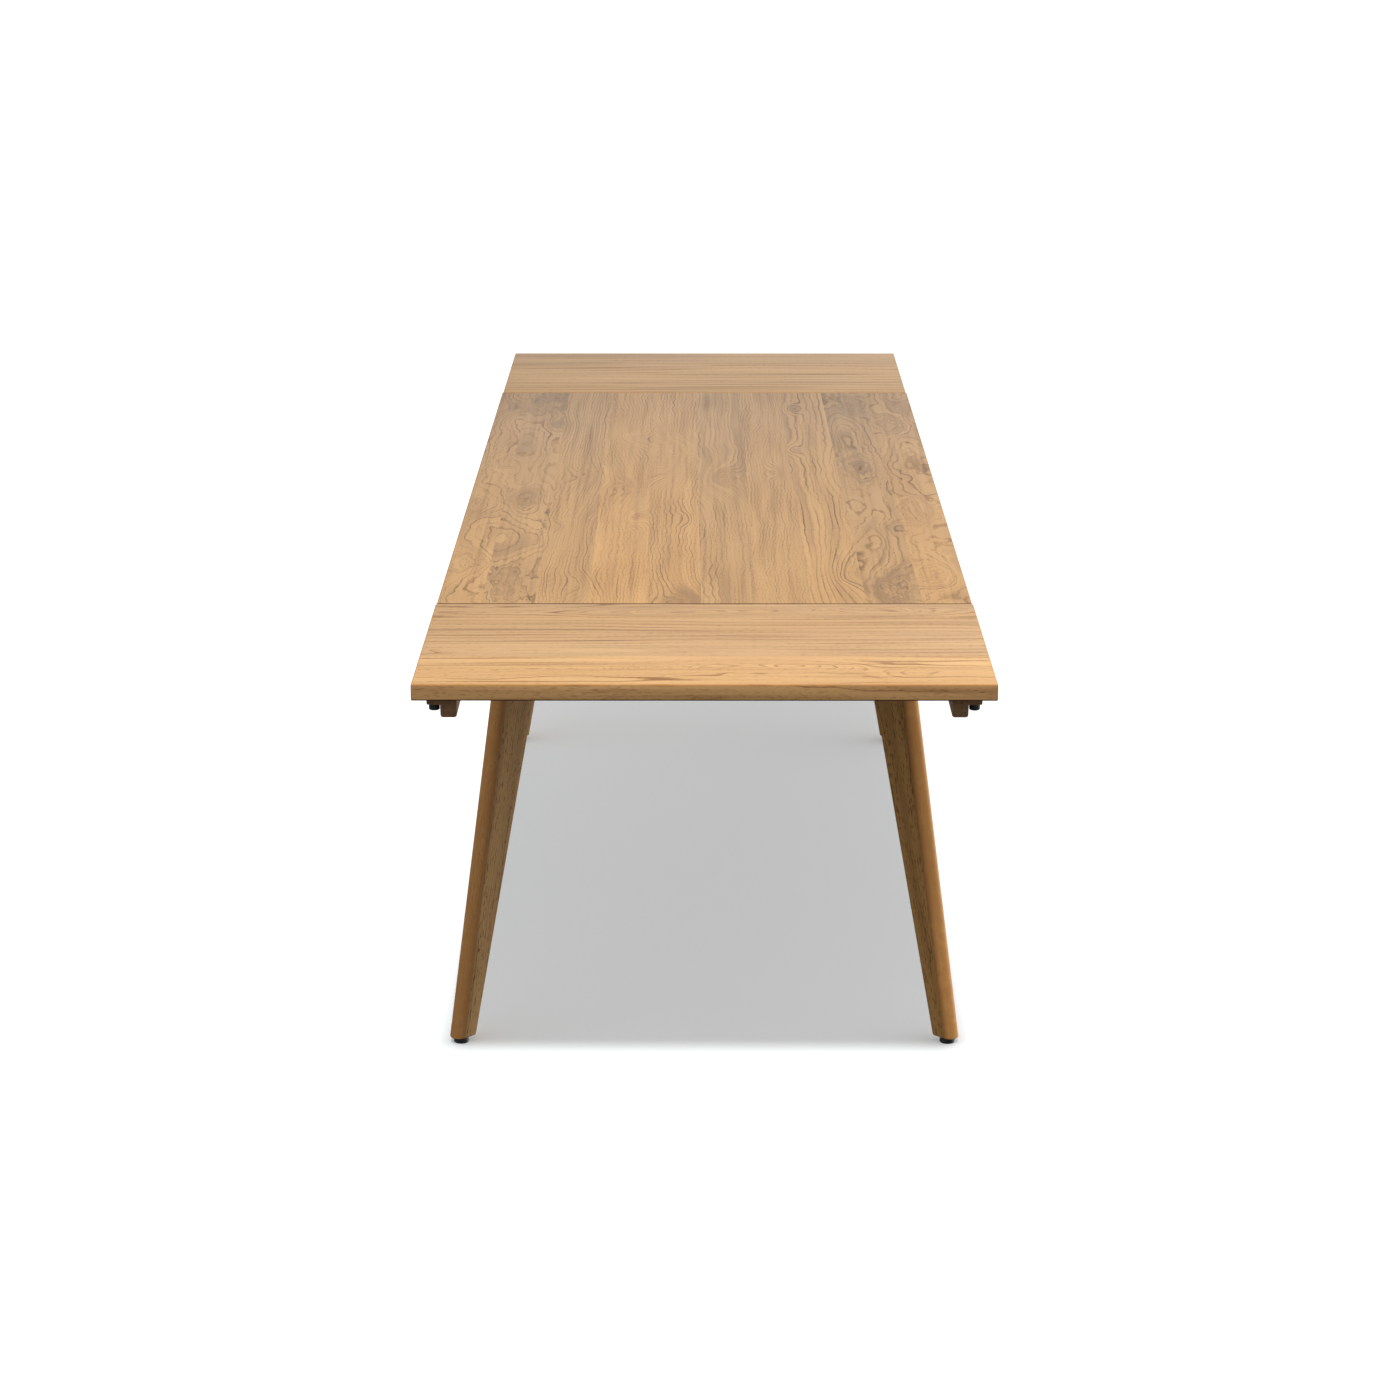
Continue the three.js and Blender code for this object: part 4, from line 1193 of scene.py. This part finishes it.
def outer_guide(side, seed):
    node = f"{side}_outer_guide"
    outer = FLANGE_EDGE + SLIDE_CLEARANCE + OUTER_GUIDE_UPRIGHT
    ledge = FLANGE_BOTTOM - SLIDE_CLEARANCE
    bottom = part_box(node)[0].z
    outline = [
        (WEB_OUTER_FACE + SLIDE_CLEARANCE, bottom, MM), (outer, bottom, 2 * MM), (outer, FRAME_TOP),
        (FLANGE_EDGE + SLIDE_CLEARANCE, FRAME_TOP), (FLANGE_EDGE + SLIDE_CLEARANCE, ledge),
        (WEB_OUTER_FACE + SLIDE_CLEARANCE, ledge, 0.5 * MM),
    ]
    piece = lengthwise(f"{node}_bar", node, SIDES[side], outline, SLIDING_END_EASE)
    board = rail_board(seed, SIDES[side] * outer, 1.05)
    lay_grain(piece, lambda place: board)
    stand_for(piece, [node], RAIL_OAK)


def inner_guide(side, seed):
    node = f"{side}_inner_guide"
    low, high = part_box(node)
    inner, outer = sorted((abs(low.x), abs(high.x)))
    outline = [(inner, low.z, 2 * MM), (outer, low.z, 2 * MM), (outer, FRAME_TOP), (inner, FRAME_TOP)]
    piece = lengthwise(f"{node}_bar", node, SIDES[side], outline, MM)
    sign = SIDES[side]
    grooves = []
    for end in ENDS.values():
        stops = sorted((end * (PEG_Y - LEAF_LENGTH - PEG_RADIUS - GAP), end * (PEG_Y + PEG_RADIUS + GAP)))
        faces = sorted((sign * (outer - GROOVE_DEPTH), sign * (outer + MM)))
        corners = zip(faces, stops, (PEG_Z - GROOVE_HALF_HEIGHT, PEG_Z + GROOVE_HALF_HEIGHT))
        groove = block(*(Vector(corner) for corner in corners))
        upright = [edge for edge in groove.edges if abs((edge.verts[0].co - edge.verts[1].co).x) > MM]
        reach = GROOVE_HALF_HEIGHT * 0.98
        bmesh.ops.bevel(groove, geom=upright, offset=reach, segments=6, profile=0.5, affect="EDGES")
        grooves.append(groove)
    cut(piece, grooves)
    board = rail_board(seed, sign * inner, 1.05)
    lay_grain(piece, lambda place: board)
    stand_for(piece, [node], RAIL_OAK)


def rail(end, side, seed):
    node = f"{end}_{side}_rail"
    bottom = FRAME_TOP - RAIL_DEPTH
    sign = SIDES[side]
    outline = [
        (RAIL_INNER_FACE, bottom, RAIL_EASED_EDGE), (WEB_OUTER_FACE, bottom, RAIL_EASED_EDGE),
        (WEB_OUTER_FACE, FLANGE_BOTTOM), (FLANGE_EDGE, FLANGE_BOTTOM, 2 * MM),
        (FLANGE_EDGE, FRAME_TOP, 0.5 * MM), (RAIL_INNER_FACE, FRAME_TOP, 0.5 * MM),
    ]
    piece = lengthwise(f"{node}_bar", node, sign, outline, SLIDING_END_EASE)
    place = Vector((sign * KNOB_X, ENDS[end] * KNOB_Y, FLANGE_BOTTOM))
    ledge = KNOB_TRAVEL + GAP
    wide, narrow = KNOB_RADIUS + SLIDE_CLEARANCE, KNOB_STUD_RADIUS + THREAD_CLEARANCE
    through = RAIL_FLANGE_THICKNESS + 2 * MM
    stepped = [(0, -MM), (wide, -MM), (wide, ledge), (narrow, ledge), (narrow, through), (0, through)]
    peg = Vector((sign * RAIL_INNER_FACE, ENDS[end] * PEG_Y, PEG_Z))
    cut(piece, [
        moved(turned(stepped, 48), Matrix.Translation(place)),
        bar(peg - X_AXIS * sign * MM, peg + X_AXIS * sign * (PEG_IN_RAIL + GAP), PEG_RADIUS + GAP),
    ])
    board = rail_board(seed, sign * RAIL_INNER_FACE)
    lay_grain(piece, lambda place: board)
    stand_for(piece, [node], RAIL_OAK)


def stop_peg(end, side):
    node = f"{end}_{side}_stop_peg"
    sign = SIDES[side]
    length = PEG_IN_RAIL + PEG_IN_GROOVE
    profile = pin(PEG_RADIUS, length, 0.8 * MM)
    y = ENDS[end] * PEG_Y
    start = Vector((sign * (RAIL_INNER_FACE + PEG_IN_RAIL), y, PEG_Z))
    finish = Vector((sign * (RAIL_INNER_FACE - PEG_IN_GROOVE), y, PEG_Z))
    piece = object_from(f"{node}_pin", moved(turned(profile, 32), along_line(start, finish)))
    stand_for(piece, [node], BEECH)


def dowel(end, side):
    """A fluted dowel with chamfered ends."""
    node = f"{end}_{side}_dowel"
    flutes = 12
    profile = pin(DOWEL_RADIUS, DOWEL_LENGTH, MM)

    def shape(radius, height, angle):
        if radius < DOWEL_RADIUS:
            return radius
        return radius - 0.35 * MM * (0.5 - 0.5 * math.cos(flutes * angle))

    inner_end = MAIN_END + GAP / 2 - DOWEL_LENGTH / 2
    start = Vector((SIDES[side] * DOWEL_X, ENDS[end] * inner_end, DOWEL_Z))
    finish = start + Y_AXIS * ENDS[end] * DOWEL_LENGTH
    piece = object_from(f"{node}_pin", moved(turned(profile, 72, shape), along_line(start, finish)))
    stand_for(piece, [node], BEECH, sharp=40)


def knob(end, side):
    """A fluted plastic knob on a threaded stud. The lower edge is well rounded."""
    node = f"{end}_{side}_knob"
    flutes = 14
    rounding = 1.9 * MM
    collar = 1.6 * MM
    bottom = -KNOB_HEIGHT
    profile = [(0, bottom + 0.5 * MM), (KNOB_RADIUS - rounding - 1.2 * MM, bottom + 0.5 * MM)]
    profile += rounded_rim(KNOB_RADIUS, bottom, rounding, 8)
    profile += [(KNOB_RADIUS, -collar - 0.5 * MM), (KNOB_RADIUS - 0.8 * MM, -collar)]
    profile += [(KNOB_RADIUS - 0.8 * MM, 0), (KNOB_STUD_RADIUS, 0)]
    stud_top = RAIL_FLANGE_THICKNESS - GAP
    pitch = MM
    profile += shank(KNOB_STUD_RADIUS, 0.5 * MM, stud_top - MM / 2, pitch)
    profile += [(KNOB_STUD_RADIUS * 0.8, stud_top), (0, stud_top)]
    screw = thread(KNOB_STUD_RADIUS, 0.5 * MM, pitch)

    def shape(radius, height, angle):
        if height > 0:
            return screw(radius, height, angle)
        if height > -collar or radius < KNOB_RADIUS - rounding:
            return radius
        fade = (radius - KNOB_RADIUS + rounding) / rounding
        return radius - 0.55 * MM * fade * (0.5 - 0.5 * math.cos(flutes * angle)) ** 2

    place = Vector((SIDES[side] * KNOB_X, ENDS[end] * KNOB_Y, FLANGE_BOTTOM))
    piece = object_from(f"{node}_head", moved(turned(profile, 84, shape), Matrix.Translation(place)))
    stand_for(piece, [node], PLASTIC)


# ---- The table ----

main_top()
leaf("front", FRONT_LEAF_JOINTS, FRONT_LEAF_FIGURES, 0.0)
leaf("rear", REAR_LEAF_JOINTS, REAR_LEAF_FIGURES, REAR_LEAF_NARROWER)

fastenings = guide_screw_places()
cross_rail()
for seed, (end, sign) in enumerate(ENDS.items()):
    apron(f"{end}_apron", (0, sign * LEG_CORNER.y, 0), X_AXIS, LEG_CORNER.x, 131 + seed)
for seed, (side, sign) in enumerate(SIDES.items()):
    apron(f"{side}_apron", (sign * LEG_CORNER.x, 0, 0), Y_AXIS, LEG_CORNER.y, 141 + seed)
    outer_guide(side, 151 + seed)
    inner_guide(side, 161 + seed)
for seed, (end, side) in enumerate(CORNERS):
    leg(end, side, 171 + seed)
    fastenings += corner_bracket(end, side)
    fastenings += top_clip(end, side)
    for level in BOLT_HEIGHTS:
        hex_bolt(end, side, level)
    foot = corner_matrix(end, side) @ Vector((FOOT_MIDDLE, 0, 0))
    sleeve(
        f"{end}_{side}_foot_insert_sleeve", f"{end}_{side}_foot_insert", foot,
        GLIDE_STUD_RADIUS + THREAD_CLEARANCE, FOOT_INSERT_RADIUS, GLIDE_HEIGHT,
        GLIDE_HEIGHT + FOOT_INSERT_LENGTH, STEEL,
    )
    glide(end, side)
    rail(end, side, 181 + seed)
    stop_peg(end, side)
    knob(end, side)
    dowel(end, side)
    sleeve(
        f"{end}_{side}_leaf_insert_sleeve", f"{end}_{side}_leaf_insert",
        Vector((SIDES[side] * KNOB_X, ENDS[end] * KNOB_Y, 0)), KNOB_STUD_RADIUS + THREAD_CLEARANCE,
        INSERT_RADIUS, UNDERSIDE, UNDERSIDE + INSERT_LENGTH, BRASS,
    )
screws("frame_screws", fastenings)


# ---- Floor, light and camera ----


def floor():
    """A pale matt floor that runs well past what the camera sees. It takes the table's shadow but
    throws no light back: the light from below is the world's, so that it can be dim in front."""
    reach = 600.0
    bm = bmesh.new()
    corners = [(-reach, -reach, 0), (reach, -reach, 0), (reach, reach, 0), (-reach, reach, 0)]
    bm.faces.new([bm.verts.new(corner) for corner in corners])
    piece = object_from("studio_floor", bm)
    n = Nodes("studio_floor")
    place = n.add("ShaderNodeTexCoord").outputs["Object"]
    cloud = n.noise(place, 0.0, 2, scale=0.7).outputs[0]
    tone = n.mix(cloud, colour(0.775, 0.79, 0.805), colour(0.785, 0.8, 0.815))
    piece.data.materials.append(n.finish(base_color=tone, roughness=0.9, specular_ior_level=0.0))
    n.shader.inputs["Emission Color"].default_value = colour(0.93, 1.0, 1.0)
    n.shader.inputs["Emission Strength"].default_value = 0.2
    piece.visible_diffuse = False
    piece.visible_glossy = False
    piece.visible_shadow = False
    return piece


def studio_world():
    """Soft light from wide panels all round: strongest from the right and behind, dim in front, where
    the camera stands. Each panel is the direction it lies in and how bright it is."""
    panels = {
        "right_behind": ((1, 1, -0.2), 1.2),
        "right": ((1, 0, 0.3), 0.75),
        "behind": ((0, 1, -0.1), 0.8),
        "left_front": ((-1, -1, 0.6), 0.96),
        "left": ((-1, 0, 0.7), 0.25),
        "right_front": ((1, -1, 1), 0.33),
        "overhead": ((0, 0, 1), 0.2),
    }
    world = bpy.data.worlds.new("studio")
    bpy.context.scene.world = world
    world.use_nodes = True
    tree = world.node_tree

    def calculate(kind, operation, a, b):
        node = tree.nodes.new(kind)
        node.operation = operation
        for socket, value in zip(node.inputs, (a, b)):
            if isinstance(value, bpy.types.NodeSocket):
                tree.links.new(value, socket)
            else:
                socket.default_value = value
        return node.outputs["Value"]

    direction = tree.nodes.new("ShaderNodeTexCoord").outputs["Generated"]
    total = 0.0
    for towards, brightness in panels.values():
        facing = calculate("ShaderNodeVectorMath", "DOT_PRODUCT", direction, Vector(towards).normalized())
        facing = calculate("ShaderNodeMath", "MAXIMUM", facing, 0.0)
        spread = calculate("ShaderNodeMath", "POWER", facing, 3.0)
        panel = calculate("ShaderNodeMath", "MULTIPLY", spread, brightness)
        total = calculate("ShaderNodeMath", "ADD", panel, total)
    background = tree.nodes["Background"]
    background.inputs["Color"].default_value = colour(1.0, 1.0, 1.0)
    tree.links.new(total, background.inputs["Strength"])


def lamp(kind, name, place, target, power, **settings):
    """A light of that kind, at a place and aimed at a target."""
    data = bpy.data.lights.new(name, kind)
    data.energy = power
    for key, value in settings.items():
        setattr(data, key, value)
    holder = bpy.data.objects.new(name, data)
    holder.location = place
    direction = Vector(target) - Vector(place)
    holder.rotation_euler = direction.to_track_quat("-Z", "Y").to_euler()
    bpy.context.scene.collection.objects.link(holder)
    return holder


def link_light(holder, ground, state):
    """Keeps a light on the floor only, with INCLUDE, or off the floor only, with EXCLUDE."""
    receivers = bpy.data.collections.new(f"{holder.name}_receivers")
    receivers.objects.link(ground)
    receivers.collection_objects[0].light_linking.link_state = state
    holder.light_linking.receiver_collection = receivers


def lamps(ground):
    """A sun that casts the table's shadow on the floor, and two lamps that light only the table."""
    floor_light = lamp("SUN", "floor_light", (0, -6.78, 10.5), (0, 0, 0), 3.08, angle=math.radians(4.5))
    link_light(floor_light, ground, "INCLUDE")
    key = lamp(
        "SPOT", "key", (0.6, -2.1, 6.5), (0, -1.0, 0.75), 935, shadow_soft_size=0.6,
        spot_size=math.radians(70), spot_blend=1.0,
    )
    link_light(key, ground, "EXCLUDE")
    side = lamp("SUN", "side", (5, 4, 0.5), (0, 0, 0), 1.35, angle=math.radians(20))
    link_light(side, ground, "EXCLUDE")


def camera():
    """The camera stands in front of the table and looks along it, a little down."""
    data = bpy.data.cameras.new("camera")
    data.sensor_width = 36
    data.lens = 86.657
    data.clip_end = 1500
    holder = bpy.data.objects.new("camera", data)
    holder.location = (0, -6.064, 2.058)
    holder.rotation_euler = (math.radians(90 - 15.85), 0, math.radians(0.078))
    bpy.context.scene.collection.objects.link(holder)
    bpy.context.scene.camera = holder


ground = floor()
studio_world()
lamps(ground)
camera()
bpy.context.scene.view_settings.view_transform = "Standard"
